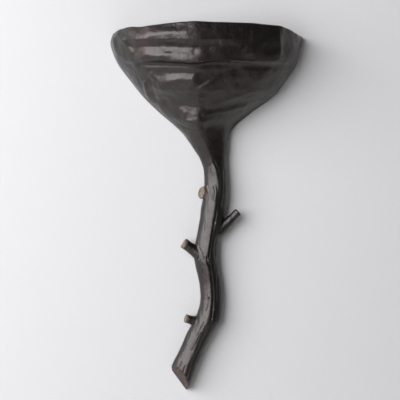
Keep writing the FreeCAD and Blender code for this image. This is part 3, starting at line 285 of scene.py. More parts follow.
def pressed(points, strokes_too):
    """Push the corner, the modeller's marks and the unevenness of wax into a grid."""
    x, y, z = points[..., 0], points[..., 1], points[..., 2]
    corner = np.interp(-z, [-level for level, _ in CORNER_LINE], [at for _, at in CORNER_LINE])
    off = np.hypot(x - corner, CORNER_ROUNDING) - CORNER_ROUNDING
    fall = CORNER_DEPTH * (1 - np.exp(-off / CORNER_WIDTH)) * np.exp(-((off / CORNER_REACH) ** 2))
    height = -fall * smooth_step(z, *CORNER_LEVELS)
    if strokes_too:
        height += stroke_heights(x, z, BOWL_STROKES) * smooth_step(y, *STROKE_DEPTHS)
    for high, size, seed, levels in [BROAD_LUMPS] + (FINE_LUMPS if strokes_too else []):
        height += high * lumps(points, size, seed) * smooth_step(z, *levels)
    height *= smooth_step(y, *PRESSED_DEPTHS)
    return points + grid_normals(points) * height[..., None]


# points down the wall and the neck, round the front, and across the lip and the back edges
WALL_ROWS, NECK_ROWS, COLUMNS, EDGE_POINTS = 168, 34, 300, 4


def bowl_skins():
    """Grids of points down and round: the outside with the neck, and the inside."""
    outer = np.zeros((WALL_ROWS + NECK_ROWS, COLUMNS, 3))
    inner = np.zeros((WALL_ROWS, COLUMNS, 3))
    neck_step = (JOINT_LEVEL - FLOOR_LEVEL) / NECK_ROWS
    neck_levels = [FLOOR_LEVEL + neck_step * (row + 1) for row in range(NECK_ROWS)]
    for column in range(COLUMNS):
        part = column / (COLUMNS - 1)
        top = eased(RIM_LINE, casting_point(RIM_LEVEL, math.pi * part)[0]) - LIP_HEIGHT
        wall_levels = [top + (FLOOR_LEVEL - top) * row / (WALL_ROWS - 1) for row in range(WALL_ROWS)]
        for row, level in enumerate(wall_levels + neck_levels):
            turn = BRANCH_TURN * neck_share(level)
            angle = -turn + (math.pi + 2 * turn) * part
            outer[row, column] = casting_point(level, angle)
            if row < WALL_ROWS:
                inner[row, column] = casting_point(level, angle, WALL_THICK)
    # the marks may not reach past the box that the bowl's solid fills
    lowest, highest = [np.array(corner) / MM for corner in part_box("bowl")]
    return [np.clip(skin, lowest, highest) for skin in (pressed(outer, True), pressed(inner, False))]


def bowl_mesh():
    """The bowl as rings: outside, back edge, inside, back edge; the floor closes the hollow."""
    outer, inner = bowl_skins()
    mesh = bmesh.new()

    def line(points):
        """New corners of the mesh at these points."""
        return [mesh.verts.new(Vector(point) * MM) for point in points]

    def between(a, b, count):
        """New corners strictly between two ends."""
        return line([a + (b - a) * (k + 1) / (count + 1) for k in range(count)])

    # the lip rolls over from outside to inside
    lips = []
    upward = np.array([0, 0, LIP_HEIGHT])
    for a, b in zip(outer[0], inner[0]):
        sweeps = [math.pi * (k + 1) / (EDGE_POINTS + 1) for k in range(EDGE_POINTS)]
        centre, reach = (a + b) / 2, (a - b) / 2
        lips.append(line([centre + reach * math.cos(s) + upward * math.sin(s) for s in sweeps]))
    rings = []
    for row in range(WALL_ROWS + NECK_ROWS):
        front = line(outer[row])
        if row == 0:
            rings.append(front + lips[-1] + line(inner[row][::-1]) + lips[0][::-1])
        elif row < WALL_ROWS:
            left = between(outer[row, -1], inner[row, -1], EDGE_POINTS)
            right = between(inner[row, 0], outer[row, 0], EDGE_POINTS)
            rings.append(front + left + line(inner[row][::-1]) + right)
        if row >= WALL_ROWS - 1:
            # from the floor down it is solid, and its back is one straight line of points; the
            # floor's level has both rings, and the faces between them are the floor
            rings.append(front + between(outer[row, -1], outer[row, 0], COLUMNS + 2 * EDGE_POINTS))
    for first, second in zip(rings, rings[1:]):
        for k in range(len(first)):
            n = (k + 1) % len(first)
            corners = list(dict.fromkeys([first[k], first[n], second[n], second[k]]))
            if len(corners) >= 3:
                mesh.faces.new(corners)
    top = rings[0]
    lip_rows = []
    for column in range(COLUMNS):
        lip_rows.append([top[column]] + lips[column] + [top[2 * COLUMNS + EDGE_POINTS - 1 - column]])
    for here, there in zip(lip_rows, lip_rows[1:]):
        for k in range(len(here) - 1):
            mesh.faces.new([here[k], here[k + 1], there[k + 1], there[k]])
    mesh.faces.new(rings[-1][::-1])
    bmesh.ops.recalc_face_normals(mesh, faces=mesh.faces)
    return mesh


def finish_mesh(mesh, name, sharp_degrees=50):
    """Turn a bmesh into an object with smooth faces and sharp folds only where they really are."""
    limit = math.radians(sharp_degrees)
    for face in mesh.faces:
        face.smooth = True
    for edge in mesh.edges:
        edge.smooth = len(edge.link_faces) != 2 or edge.calc_face_angle(0) < limit
    data = bpy.data.meshes.new(name)
    mesh.to_mesh(data)
    mesh.free()
    piece = bpy.data.objects.new(name, data)
    bpy.context.scene.collection.objects.link(piece)
    return piece


# Four lugs inside, cast with the bowl, take the back plate's screws: x, z of the screw;
# half a lug's width, y of its back and front, how deep it is rooted in the wall, how far
# its edges are eased, and the angle round the front at which it meets the wall.
LUGS = [(108, 20), (-108, 20), (70, -26), (-70, -26)]
LUG_HALF, LUG_BACK, LUG_FRONT, LUG_ROOT, LUG_EASE, LUG_ANGLE = 7, -10, -24, 1.5, 1.2, 0.12


def add_lugs(mesh):
    """Blocks with eased edges that grow out of the bowl's inner side."""
    for x, z in LUGS:
        outward = math.copysign(1, x)
        angle = LUG_ANGLE if outward > 0 else math.pi - LUG_ANGLE
        made = []
        for end_z in (z - LUG_HALF, z + LUG_HALF):
            wall_x = casting_point(end_z, angle, WALL_THICK)[0]
            for end_x, end_y in (
                (x - outward * LUG_HALF, LUG_BACK), (wall_x + outward * LUG_ROOT, LUG_BACK),
                (wall_x, LUG_FRONT), (x - outward * LUG_HALF, LUG_FRONT),
            ):
                made.append(mesh.verts.new(Vector((end_x, end_y, end_z)) * MM))
        faces = [mesh.faces.new(made[0:4]), mesh.faces.new(made[4:8])]
        for k in range(4):
            n = (k + 1) % 4
            faces.append(mesh.faces.new([made[k], made[n], made[n + 4], made[k + 4]]))
        bmesh.ops.recalc_face_normals(mesh, faces=faces)
        edges = list({edge for face in faces for edge in face.edges})
        bmesh.ops.bevel(mesh, geom=edges, offset=LUG_EASE * MM, segments=3, profile=0.5, affect="EDGES")
    return mesh


bowl = finish_mesh(add_lugs(bowl_mesh()), "bowl_casting")


def linear(text):
    """An sRGB hex colour as linear RGBA."""
    channels = [int(text[k:k + 2], 16) / 255 for k in (1, 3, 5)]
    return tuple(c / 12.92 if c <= 0.04045 else ((c + 0.055) / 1.055) ** 2.4 for c in channels) + (1.0,)


def add(tree, kind, settings=None, links=None):
    """Add one node: settings name its attributes or sockets, links feed its sockets."""
    item = tree.nodes.new(kind)
    for key, value in (settings or {}).items():
        if isinstance(key, str) and hasattr(item, key):
            setattr(item, key, value)
        else:
            item.inputs[key].default_value = value
    for key, socket in (links or {}).items():
        tree.links.new(socket, item.inputs[key])
    return item


# sockets of a mix of two colours: the first, the second, and the result
MIX_A, MIX_B, MIX_OUT = 6, 7, 2


def start_material(name):
    """A new material, the tree to add to, its shader, and places on the piece in metres."""
    material = bpy.data.materials.new(name)
    material.use_nodes = True
    tree = material.node_tree
    tree.nodes.clear()
    output = add(tree, "ShaderNodeOutputMaterial")
    shader = add(tree, "ShaderNodeBsdfPrincipled")
    tree.links.new(shader.outputs[0], output.inputs["Surface"])
    return material, tree, shader, add(tree, "ShaderNodeTexCoord").outputs["Object"]


def per_mm(size):
    """Texture scale whose features are about size millimetres across."""
    return 1000.0 / size


# the red-brown patch and the filled joint, in metres: the patch's middle, how far it is
# fully red and where it ends, and how far from the joint the rubbing sets in
PATCH_SPOT, PATCH_INNER, PATCH_OUTER = (-0.018, -0.122, 0.029), 0.012, 0.05
FILLED_INNER, FILLED_OUTER = 0.001, 0.003


def bronze_patina():
    """Cast bronze, darkened with chemicals and waxed: brown-black, paler where hands rub it."""
    material, tree, shader, place = start_material("dark_bronze_patina")
    cloud = add(
        tree, "ShaderNodeTexNoise", {"Scale": per_mm(38), "Detail": 5.0, "Roughness": 0.6}, {"Vector": place},
    )
    grain = add(
        tree, "ShaderNodeTexNoise", {"Scale": per_mm(5), "Detail": 6.0, "Roughness": 0.65}, {"Vector": place},
    )
    brown = add(
        tree, "ShaderNodeMix",
        {"data_type": "RGBA", MIX_A: linear("#37322f"), MIX_B: linear("#3e3835")}, {0: cloud.outputs["Fac"]},
    )
    red_cloud = add(
        tree, "ShaderNodeTexNoise", {"Scale": per_mm(60), "Detail": 4.0, "Distortion": 0.6},
        {"Vector": place},
    )
    # one larger red-brown patch, where the torch was held longest on the front
    from_patch = add(
        tree, "ShaderNodeVectorMath", {"operation": "DISTANCE", 1: PATCH_SPOT}, {0: place},
    )
    patch = add(
        tree, "ShaderNodeMapRange",
        {"From Min": PATCH_INNER, "From Max": PATCH_OUTER, "To Min": 0.22, "To Max": 0.0},
        {"Value": from_patch.outputs["Value"]},
    )
    red_amount = add(
        tree, "ShaderNodeMath", {"operation": "ADD"},
        {0: red_cloud.outputs["Fac"], 1: patch.outputs["Result"]},
    )
    red_where = add(
        tree, "ShaderNodeMapRange", {"From Min": 0.55, "From Max": 0.75, "To Min": 0.0, "To Max": 0.6},
        {"Value": red_amount.outputs[0]},
    )
    reddish = add(
        tree, "ShaderNodeMix", {"data_type": "RGBA", MIX_B: linear("#4a3a37")},
        {0: red_where.outputs["Result"], MIX_A: brown.outputs[MIX_OUT]},
    )
    speck_where = add(
        tree, "ShaderNodeMapRange",
        {"From Min": 0.5, "From Max": 0.75, "To Min": 0.0, "To Max": 0.6}, {"Value": grain.outputs["Fac"]},
    )
    specked = add(
        tree, "ShaderNodeMix", {"data_type": "RGBA", MIX_B: linear("#292423")},
        {0: speck_where.outputs["Result"], MIX_A: reddish.outputs[MIX_OUT]},
    )
    edges = add(tree, "ShaderNodeNewGeometry").outputs["Pointiness"]
    hollow_where = add(
        tree, "ShaderNodeMapRange",
        {"From Min": 0.495, "From Max": 0.46, "To Min": 0.0, "To Max": 0.75}, {"Value": edges},
    )
    hollowed = add(
        tree, "ShaderNodeMix", {"data_type": "RGBA", MIX_B: linear("#1d1613")},
        {0: hollow_where.outputs["Result"], MIX_A: specked.outputs[MIX_OUT]},
    )
    rub_where = add(
        tree, "ShaderNodeMapRange",
        {"From Min": 0.52, "From Max": 0.62, "To Min": 0.0, "To Max": 0.5}, {"Value": edges},
    )
    # the joint between neck and branch is filled and coloured over, so it isn't rubbed
    height = add(tree, "ShaderNodeSeparateXYZ", {}, {0: place}).outputs["Z"]
    from_joint = add(tree, "ShaderNodeMath", {"operation": "SUBTRACT", 1: JOINT_LEVEL * MM}, {0: height})
    joint_gap = add(tree, "ShaderNodeMath", {"operation": "ABSOLUTE"}, {0: from_joint.outputs[0]})
    off_joint = add(
        tree, "ShaderNodeMapRange", {"From Min": FILLED_INNER, "From Max": FILLED_OUTER},
        {"Value": joint_gap.outputs[0]},
    )
    rub = add(
        tree, "ShaderNodeMath", {"operation": "MULTIPLY"},
        {0: rub_where.outputs["Result"], 1: off_joint.outputs["Result"]},
    )
    rubbed = add(
        tree, "ShaderNodeMix", {"data_type": "RGBA", MIX_B: linear("#7d6d5b")},
        {0: rub.outputs[0], MIX_A: hollowed.outputs[MIX_OUT]},
    )
    tree.links.new(rubbed.outputs[MIX_OUT], shader.inputs["Base Color"])
    shader.inputs["Metallic"].default_value = 1.0
    shader.inputs["Specular Tint"].default_value = (0.5, 0.5, 0.5, 1)
    shader.inputs["Coat Weight"].default_value = 0.75
    shader.inputs["Coat Roughness"].default_value = 0.32
    sheen = add(
        tree, "ShaderNodeMapRange",
        {"From Min": 0.3, "From Max": 0.7, "To Min": 0.29, "To Max": 0.41}, {"Value": grain.outputs["Fac"]},
    )
    tree.links.new(sheen.outputs["Result"], shader.inputs["Roughness"])
    pits = add(
        tree, "ShaderNodeTexNoise", {"Scale": per_mm(2.6), "Detail": 4.0, "Roughness": 0.65},
        {"Vector": place},
    )
    bump = add(
        tree, "ShaderNodeBump", {"Strength": 0.9, "Distance": 0.001}, {"Height": pits.outputs["Fac"]},
    )
    soft = add(
        tree, "ShaderNodeBump", {"Strength": 0.6, "Distance": 0.0009},
        {"Height": grain.outputs["Fac"], "Normal": bump.outputs["Normal"]},
    )
    tree.links.new(soft.outputs["Normal"], shader.inputs["Normal"])
    return material


patina = bronze_patina()
bowl.data.materials.append(patina)
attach(bowl, "sconce")
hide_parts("bowl")

# ---------------------------------------------------------------------------
# Branch. One bronze casting taken from a real branch: it bends four times, has
# four cut twigs and is cut off slanting at its foot. Its back is flat and two
# rubber pads keep it off the wall.

# level, left edge, front crest, right edge, depth from the wall
BRANCH_ROWS = [
    (-90, -31, -5, 36, 40), (-104, -22, 0, 32.5, 35), (-118, -13.5, 5, 30.5, 31),
    (-129, -8.6, 10, 30.4, 30), (-140, -5.3, 14, 31.1, 30), (-160, -4.3, 18, 32.5, 30),
    (-180, -6, 16.5, 32, 31), (-200, -9.5, 13, 29, 31), (-224, -12.4, 9, 26.5, 30),
    (-250, -17.5, 4.7, 19, 29), (-272, -21, 1.5, 17.2, 30), (-292, -18, 2, 19, 29),
    (-320, -12, 6.3, 23, 28), (-350, -11.4, 6.5, 24.5, 29), (-376, -20.4, 1.5, 21.2, 31),
    (-394, -30.2, -6, 10.5, 30), (-422, -43, -19, -4.4, 29), (-451, -57.7, -31, -16.8, 29),
    (-492, -78, -47, -32, 28), (-510, -87, -54, -40, 28),
]

# foot x, y, z on the branch; tip x, y, z; foot radius; tip radius; length rubbed pale at the
# tip, where a length below 0 leaves the cut end dark
TWIGS = [
    (4, -14, -178, -9.5, -20.5, -175, 12.5, 10.5, 2.6),
    (17, -15, -238, 49.5, -18, -205, 10, 6.8, -4),
    (-4, -15, -278, -37.5, -18.5, -254, 13, 8.4, 0.6),
    (-16, -15, -378, -34.5, -18.5, -372.5, 9, 7, 1),
]
FOOT_CUT_POINT = Vector((-46, -2, -471))
FOOT_CUT_NORMAL = Vector((-0.71, -0.47, -0.52))
# share of a twig's length; how much of the foot's extra width is left there; width of the
# tip there, in tip radii: a little narrower along the twig, rounded at the cut
TWIG_PROFILE = [
    (0.0, 1.0, 0.93), (0.25, 0.62, 0.93), (0.5, 0.25, 0.93), (0.75, 0.02, 0.93), (0.9, 0.0, 0.98),
    (0.965, 0.0, 1.0), (0.99, 0.0, 0.96), (1.0, 0.0, 0.86),
]
# points round a twig, share by which it is uneven, step of the noise's seed between twigs
TWIG_POINTS, TWIG_UNEVEN, TWIG_SEED_STEP = 28, 0.07, 7.0


def branch_ring(level, count):
    """One level of the branch, closed behind by its flat back."""
    left, crest, right, depth = [eased(BRANCH_ROWS, level, column) for column in (1, 2, 3, 4)]
    points = []
    for k in range(count):
        angle = -BRANCH_TURN + (math.pi + 2 * BRANCH_TURN) * k / (count - 1)
        ridge = CREST_HEIGHT * bell(angle, FRONT, CREST_HALF_TURN)
        points.append((*section_point(angle, left, crest, right, depth, 1, ridge), level))
    return points


def tube_between(mesh, rings):
    """Skin a stack of closed rings and cap both ends."""
    made = [[mesh.verts.new(Vector(point) * MM) for point in ring] for ring in rings]
    for first, second in zip(made, made[1:]):
        for k in range(len(first)):
            n = (k + 1) % len(first)
            mesh.faces.new([first[k], first[n], second[n], second[k]])
    mesh.faces.new(made[0][::-1])
    mesh.faces.new(made[-1])


def twig_rings(row, seed):
    """Rings of a cut twig, wider where it leaves the branch and a little uneven all round."""
    foot, tip = Vector(row[0:3]), Vector(row[3:6])
    foot_radius, tip_radius = row[6:8]
    along = (tip - foot).normalized()
    across = along.cross(Vector((0, 1, 0))).normalized()
    front = across.cross(along)
    rings = []
    for part, flare, width in TWIG_PROFILE:
        radius = tip_radius * width + (foot_radius - tip_radius) * flare
        centre = foot + (tip - foot) * part
        ring = []
        for k in range(TWIG_POINTS):
            turn = 2 * math.pi * k / TWIG_POINTS
            place = Vector((math.cos(turn), math.sin(turn), seed + part))
            uneven = 1 + TWIG_UNEVEN * noise.noise(place)
            offset = across * math.cos(turn) + front * math.sin(turn)
            ring.append(centre + offset * radius * uneven)
        rings.append(ring)
    return rings


def cut_off(mesh, point, normal):
    """Saw off what lies beyond a plane and close the cut."""
    cut = bmesh.ops.bisect_plane(
        mesh, geom=mesh.verts[:] + mesh.edges[:] + mesh.faces[:], plane_co=point * MM,
        plane_no=normal, clear_outer=True,
    )
    rim = [item for item in cut["geom_cut"] if isinstance(item, bmesh.types.BMEdge)]
    bmesh.ops.holes_fill(mesh, edges=rim)


# The branch before its top and foot are cut: levels of its ends, rings, points in a ring.
BRANCH_TOP, BRANCH_END, BRANCH_RINGS, BRANCH_POINTS = -100, -508, 260, 72
# Cell of the skin that joins branch and twigs, and how often and how far it is smoothed.
SKIN_CELL, MELT_TIMES, MELT_SHARE = 0.9, 7, 0.5
# Levels over which the melted skin gives way to the pattern's own at the joint.
TOP_LEVELS = (-150, -126)


def branch_mesh():
    """Branch and twigs, melted into one skin as the casting is."""
    mesh = bmesh.new()
    step = (BRANCH_END - BRANCH_TOP) / (BRANCH_RINGS - 1)
    levels = [BRANCH_TOP + step * k for k in range(BRANCH_RINGS)]
    tube_between(mesh, [branch_ring(level, BRANCH_POINTS)[::-1] for level in levels])
    plain_skin = BVHTree.FromBMesh(mesh)
    cut_off(mesh, FOOT_CUT_POINT, FOOT_CUT_NORMAL)
    for number, row in enumerate(TWIGS):
        tube_between(mesh, twig_rings(row, TWIG_SEED_STEP * number))
    bmesh.ops.recalc_face_normals(mesh, faces=mesh.faces)
    rough = finish_mesh(mesh, "branch_rough")
    remesh = rough.modifiers.new("one_skin", "REMESH")
    remesh.mode = "VOXEL"
    remesh.voxel_size = SKIN_CELL * MM
    smooth = rough.modifiers.new("melt", "SMOOTH")
    smooth.factor = MELT_SHARE
    smooth.iterations = MELT_TIMES
    ready = bpy.data.meshes.new_from_object(rough.evaluated_get(bpy.context.evaluated_depsgraph_get()))
    bpy.data.objects.remove(rough)
    # where the branch meets the neck its skin is exactly the pattern's, so no step shows
    for vertex in ready.vertices:
        share = float(smooth_step(vertex.co.z / MM, *TOP_LEVELS))
        if share > 0:
            vertex.co = vertex.co.lerp(plain_skin.find_nearest(vertex.co)[0], share)
    return ready


# Bark, as seen from the front: a groove beside the crest and short wrinkles.
BARK_STROKES = [
    (-1.5, 2.2, [
        (7, -118), (12, -129), (17.5, -141), (21.5, -156), (22, -170), (19, -186), (15, -205), (12, -222),
    ]),
    (-1.3, 2.0, [(12, -222), (8.5, -240), (5, -262), (3.2, -278)]),
    (-1.4, 2.2, [(4, -284), (6, -298), (9, -318), (10, -340), (9, -356), (7, -372)]),
    (-1.2, 2.2, [(7, -372), (2, -390), (-6, -406), (-15, -424), (-22, -440), (-26, -456), (-29, -466)]),
    (-1.2, 1.6, [(0, -276), (0.5, -283), (2, -289)]),
    (0.9, 2.2, [(12, -164), (14, -176), (12, -188)]),
    (-0.8, 1.4, [(9, -168), (10, -176), (8, -186)]),
    (-0.8, 1.3, [(3, -340), (1, -350), (-2, -358)]),
    (-0.8, 1.3, [(-6, -378), (-10, -388), (-16, -398)]),
    (-0.7, 1.3, [(-2, -384), (-6, -396), (-12, -408)]),
    (0.8, 1.8, [(-11, -392), (-17, -404), (-24, -418)]),
    (-0.7, 1.6, [(-40, -440), (-46, -452), (-50, -460)]),
    (-0.6, 1.5, [(-34, -446), (-38, -458)]),
    (-0.7, 1.3, [(-12, -262), (-8, -270), (-5, -280)]),
    (-0.6, 1.3, [(14, -250), (12, -262), (13, -276)]),
    (-0.6, 1.4, [(16, -305), (17, -325), (17, -345)]),
    (-0.7, 1.6, [(27, -140), (27, -160), (27, -180), (24, -196)]),
]
# Grain of the bark: height, size, seed of the noise, and how short it is for its length.
BARK_GRAIN = [(0.3, 4.2, 2.2, 0.16), (0.4, 15, 8.4, 1), (0.12, 2.4, 4.9, 0.5)]
# Depths from the wall over which grooves and all relief set in, and levels below the joint.
GROOVE_DEPTHS, RELIEF_DEPTHS = (-8, -16), (-3, -9)
RELIEF_LEVELS = (JOINT_LEVEL, JOINT_LEVEL - 16)


def carve_bark(data):
    """Press the bark's grooves and grain into the front of the branch."""
    count = len(data.vertices)
    points = np.zeros(count * 3)
    normals = np.zeros(count * 3)
    data.vertices.foreach_get("co", points)
    data.vertices.foreach_get("normal", normals)
    points = points.reshape(-1, 3) / MM
    normals = normals.reshape(-1, 3)
    x, y, z = points.T
    height = stroke_heights(x, z, BARK_STROKES) * smooth_step(y, *GROOVE_DEPTHS)
    for high, size, seed, shortness in BARK_GRAIN:
        height += high * lumps(points * (1, 1, shortness), size, seed)
    height *= smooth_step(y, *RELIEF_DEPTHS) * smooth_step(z, *RELIEF_LEVELS)
    points = points + normals * height[:, None]
    data.vertices.foreach_set("co", (points * MM).ravel())


stem_data = branch_mesh()
carve_bark(stem_data)
stem_mesh = bmesh.new()
stem_mesh.from_mesh(stem_data)
cut_off(stem_mesh, Vector((0, 0, JOINT_LEVEL)), Vector((0, 0, 1)))
stem = finish_mesh(stem_mesh, "branch_casting", 60)


def rubbed_bronze(name, low, high, metallic, rough):
    """Bronze whose dark skin is worn through: patchy, with file marks a millimetre apart."""
    material, tree, shader, place = start_material(name)
    wear = add(
        tree, "ShaderNodeTexNoise", {"Scale": per_mm(4), "Detail": 5.0, "Roughness": 0.65}, {"Vector": place},
    )
    share = add(
        tree, "ShaderNodeMapRange", {"From Min": 0.35, "From Max": 0.62}, {"Value": wear.outputs["Fac"]},
    )
    tone = add(
        tree, "ShaderNodeMix", {"data_type": "RGBA", MIX_A: linear(low), MIX_B: linear(high)},
        {0: share.outputs["Result"]},
    )
    marks = add(tree, "ShaderNodeTexNoise", {"Scale": per_mm(1), "Detail": 3.0}, {"Vector": place})
    bump = add(
        tree, "ShaderNodeBump", {"Strength": 0.5, "Distance": 0.0004}, {"Height": marks.outputs["Fac"]},
    )
    shader.inputs["Metallic"].default_value = metallic
    shader.inputs["Roughness"].default_value = rough
    tree.links.new(tone.outputs[MIX_OUT], shader.inputs["Base Color"])
    tree.links.new(bump.outputs["Normal"], shader.inputs["Normal"])
    return material


stem.data.materials.append(patina)
stem.data.materials.append(rubbed_bronze("rubbed_bronze_cut_end", "#5a5047", "#9a8a77", 0.35, 0.5))
stem.data.materials.append(rubbed_bronze("red_brown_bronze_cut_foot", "#362c28", "#5c4b43", 0.5, 0.5))

# slots of the two worn finishes on the branch
CUT_END_SLOT, CUT_FOOT_SLOT = 1, 2
# The saw came from the front, so the pale end of a twig leans that way.
SAW_LEAN = Vector((0, -0.7, 0))
# How far from a twig's tip its end reaches, in tip radii; how deep under the slanting cut
# a face of the foot may lie, and how squarely it has to look the cut's way.
END_REACH, FOOT_DEPTH, FOOT_SQUARE = 1.4, 1.6, 0.8


def colour_cut_ends(data):
    """Rub the dark skin off the flat ends of the twigs, and wear the slanting foot brown."""
    cut_way = FOOT_CUT_NORMAL.normalized()
    for face in data.polygons:
        middle = face.center / MM
        for row in TWIGS:
            foot, tip = Vector(row[0:3]), Vector(row[3:6])
            tip_radius, rubbed_length = row[7:9]
            saw_way = ((tip - foot).normalized() + SAW_LEAN).normalized()
            ahead = (middle - tip).dot(saw_way)
            if ahead > -rubbed_length and (middle - tip).length < tip_radius * END_REACH:
                face.material_index = CUT_END_SLOT
        off_cut = (middle - FOOT_CUT_POINT).dot(cut_way)
        if off_cut > -FOOT_DEPTH and face.normal.dot(cut_way) > FOOT_SQUARE:
            face.material_index = CUT_FOOT_SLOT


colour_cut_ends(stem.data)
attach(stem, "sconce")
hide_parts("stem")

# ---------------------------------------------------------------------------
# Neck fixings and wall strap. A zinc-plated stud, washer and nut hold the branch
# under the bowl; the strap goes on the wall first, with two studs that reach
# through the back plate.


def dress(material, *names):
    """Give carried-over pieces their finish."""
    for name in names:
        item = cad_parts[name]
        if not item.material_slots:
            item.data.materials.append(material)
        for held in item.material_slots:
            held.material = material


def zinc_plated_steel():
    """Bright zinc on pressed steel: blue-white, finely brushed, a little cloudy from handling."""
    material, tree, shader, place = start_material("bright_zinc_plated_steel")
    cloud = add(tree, "ShaderNodeTexNoise", {"Scale": per_mm(6), "Detail": 4.0}, {"Vector": place})
    tone = add(
        tree, "ShaderNodeMix", {"data_type": "RGBA", MIX_A: linear("#b9bbbd"), MIX_B: linear("#d3d4d2")},
        {0: cloud.outputs["Fac"]},
    )
    stretch = add(tree, "ShaderNodeMapping", {"Scale": (0.08, 1.0, 1.0)}, {"Vector": place})
    brush = add(
        tree, "ShaderNodeTexNoise", {"Scale": per_mm(0.35), "Detail": 3.0}, {"Vector": stretch.outputs[0]},
    )
    dull = add(
        tree, "ShaderNodeMapRange", {"From Min": 0.3, "From Max": 0.7, "To Min": 0.24, "To Max": 0.42},
        {"Value": cloud.outputs["Fac"]},
    )
    bump = add(
        tree, "ShaderNodeBump", {"Strength": 0.12, "Distance": 0.0001}, {"Height": brush.outputs["Fac"]},
    )
    shader.inputs["Metallic"].default_value = 1.0
    tree.links.new(tone.outputs[MIX_OUT], shader.inputs["Base Color"])
    tree.links.new(dull.outputs["Result"], shader.inputs["Roughness"])
    tree.links.new(bump.outputs["Normal"], shader.inputs["Normal"])
    return material


zinc = zinc_plated_steel()
dress(zinc, "neck_stud", "neck_washer", "neck_nut", "neck_dowel", "wall_bracket", "mounting_studs")

# ---------------------------------------------------------------------------
# Back plate. Black powder-coated steel, screwed to the bowl's four lugs; two
# brass cap nuts inside the bowl pull it to the wall strap.


def black_powder_coat():
    """Satin black powder coat: fine orange peel, faint dust in soft clouds."""
    material, tree, shader, place = start_material("satin_black_powder_coat")
    dust = add(tree, "ShaderNodeTexNoise", {"Scale": per_mm(30), "Detail": 5.0}, {"Vector": place})
    tone = add(
        tree, "ShaderNodeMix", {"data_type": "RGBA", MIX_A: linear("#1b1b1c"), MIX_B: linear("#2c2b2a")},
        {0: dust.outputs["Fac"]},
    )
    peel = add(tree, "ShaderNodeTexNoise", {"Scale": per_mm(0.7), "Detail": 2.0}, {"Vector": place})
    bump = add(
        tree, "ShaderNodeBump", {"Strength": 0.35, "Distance": 0.0001}, {"Height": peel.outputs["Fac"]},
    )
    shader.inputs["Roughness"].default_value = 0.42
    tree.links.new(tone.outputs[MIX_OUT], shader.inputs["Base Color"])
    tree.links.new(bump.outputs["Normal"], shader.inputs["Normal"])
    return material


def wave_mm(size):
    """Scale of a wave texture, which is about ten times as fine as its scale says."""
    return per_mm(size) / 10


def turned_brass():
    """Bare turned brass: warm yellow with fine tool rings and a start of brown tarnish."""
    material, tree, shader, place = start_material("bare_turned_brass")
    tarnish = add(
        tree, "ShaderNodeTexNoise", {"Scale": per_mm(5), "Detail": 5.0, "Roughness": 0.6}, {"Vector": place},
    )
    tone = add(
        tree, "ShaderNodeMix", {"data_type": "RGBA", MIX_A: linear("#8d6a34"), MIX_B: linear("#d6ae62")},
        {0: tarnish.outputs["Fac"]},
    )
    rings = add(
        tree, "ShaderNodeTexWave", {"Scale": wave_mm(0.6), "Distortion": 0.4, "bands_direction": "Y"},
        {"Vector": place},
    )
    bump = add(
        tree, "ShaderNodeBump", {"Strength": 0.08, "Distance": 0.0001}, {"Height": rings.outputs["Fac"]},
    )
    shader.inputs["Metallic"].default_value = 1.0
    shader.inputs["Roughness"].default_value = 0.27
    tree.links.new(tone.outputs[MIX_OUT], shader.inputs["Base Color"])
    tree.links.new(bump.outputs["Normal"], shader.inputs["Normal"])
    return material


brass = turned_brass()
dress(black_powder_coat(), "back_plate")
dress(zinc, "back_plate_screws")
dress(brass, "cap_nuts")

# ---------------------------------------------------------------------------
# Rubber. Two pads keep the branch off the wall and a grommet lines the hole
# where the supply comes through; both are moulded black rubber.


def clouded(name, size, detail, low, high, rough, rough_high=None, metallic=0.0, distortion=0.0, bump=None):
    """A material whose tone drifts from low to high in clouds of about size millimetres.

    Its roughness drifts too if it has a high end. A bump is strength and depth in metres.
    """
    material, tree, shader, place = start_material(name)
    cloud = add(
        tree, "ShaderNodeTexNoise", {"Scale": per_mm(size), "Detail": detail, "Distortion": distortion},
        {"Vector": place},
    ).outputs["Fac"]
    tone = add(
        tree, "ShaderNodeMix", {"data_type": "RGBA", MIX_A: linear(low), MIX_B: linear(high)}, {0: cloud},
    )
    tree.links.new(tone.outputs[MIX_OUT], shader.inputs["Base Color"])
    shader.inputs["Metallic"].default_value = metallic
    shader.inputs["Roughness"].default_value = rough
    if rough_high is not None:
        dull = add(
            tree, "ShaderNodeMapRange",
            {"From Min": 0.3, "From Max": 0.7, "To Min": rough, "To Max": rough_high}, {"Value": cloud},
        )
        tree.links.new(dull.outputs["Result"], shader.inputs["Roughness"])
    if bump is not None:
        relief = add(tree, "ShaderNodeBump", {"Strength": bump[0], "Distance": bump[1]}, {"Height": cloud})
        tree.links.new(relief.outputs["Normal"], shader.inputs["Normal"])
    return material


# black moulded rubber: matt, slightly grey where it blooms
rubber = clouded("black_moulded_rubber", 3, 4.0, "#1c1c1c", "#30302f", 0.75, bump=(0.2, 0.0001))
dress(rubber, "stem_pads", "cable_grommet")

# ---------------------------------------------------------------------------
# Lamp bracket and nipple. A bent zinc-plated angle on the back plate carries the
# lampholder on a threaded nipple, held by a toothed washer and a brass nut.

dress(zinc, "lamp_bracket", "lamp_bracket_screws", "lamp_nipple", "nipple_lockwasher")
dress(brass, "nipple_nut")

# ---------------------------------------------------------------------------
# Lampholder. Two moulded phenolic shells round a porcelain insert, with a
# nickel-plated screw sleeve and a sprung brass contact at its foot.


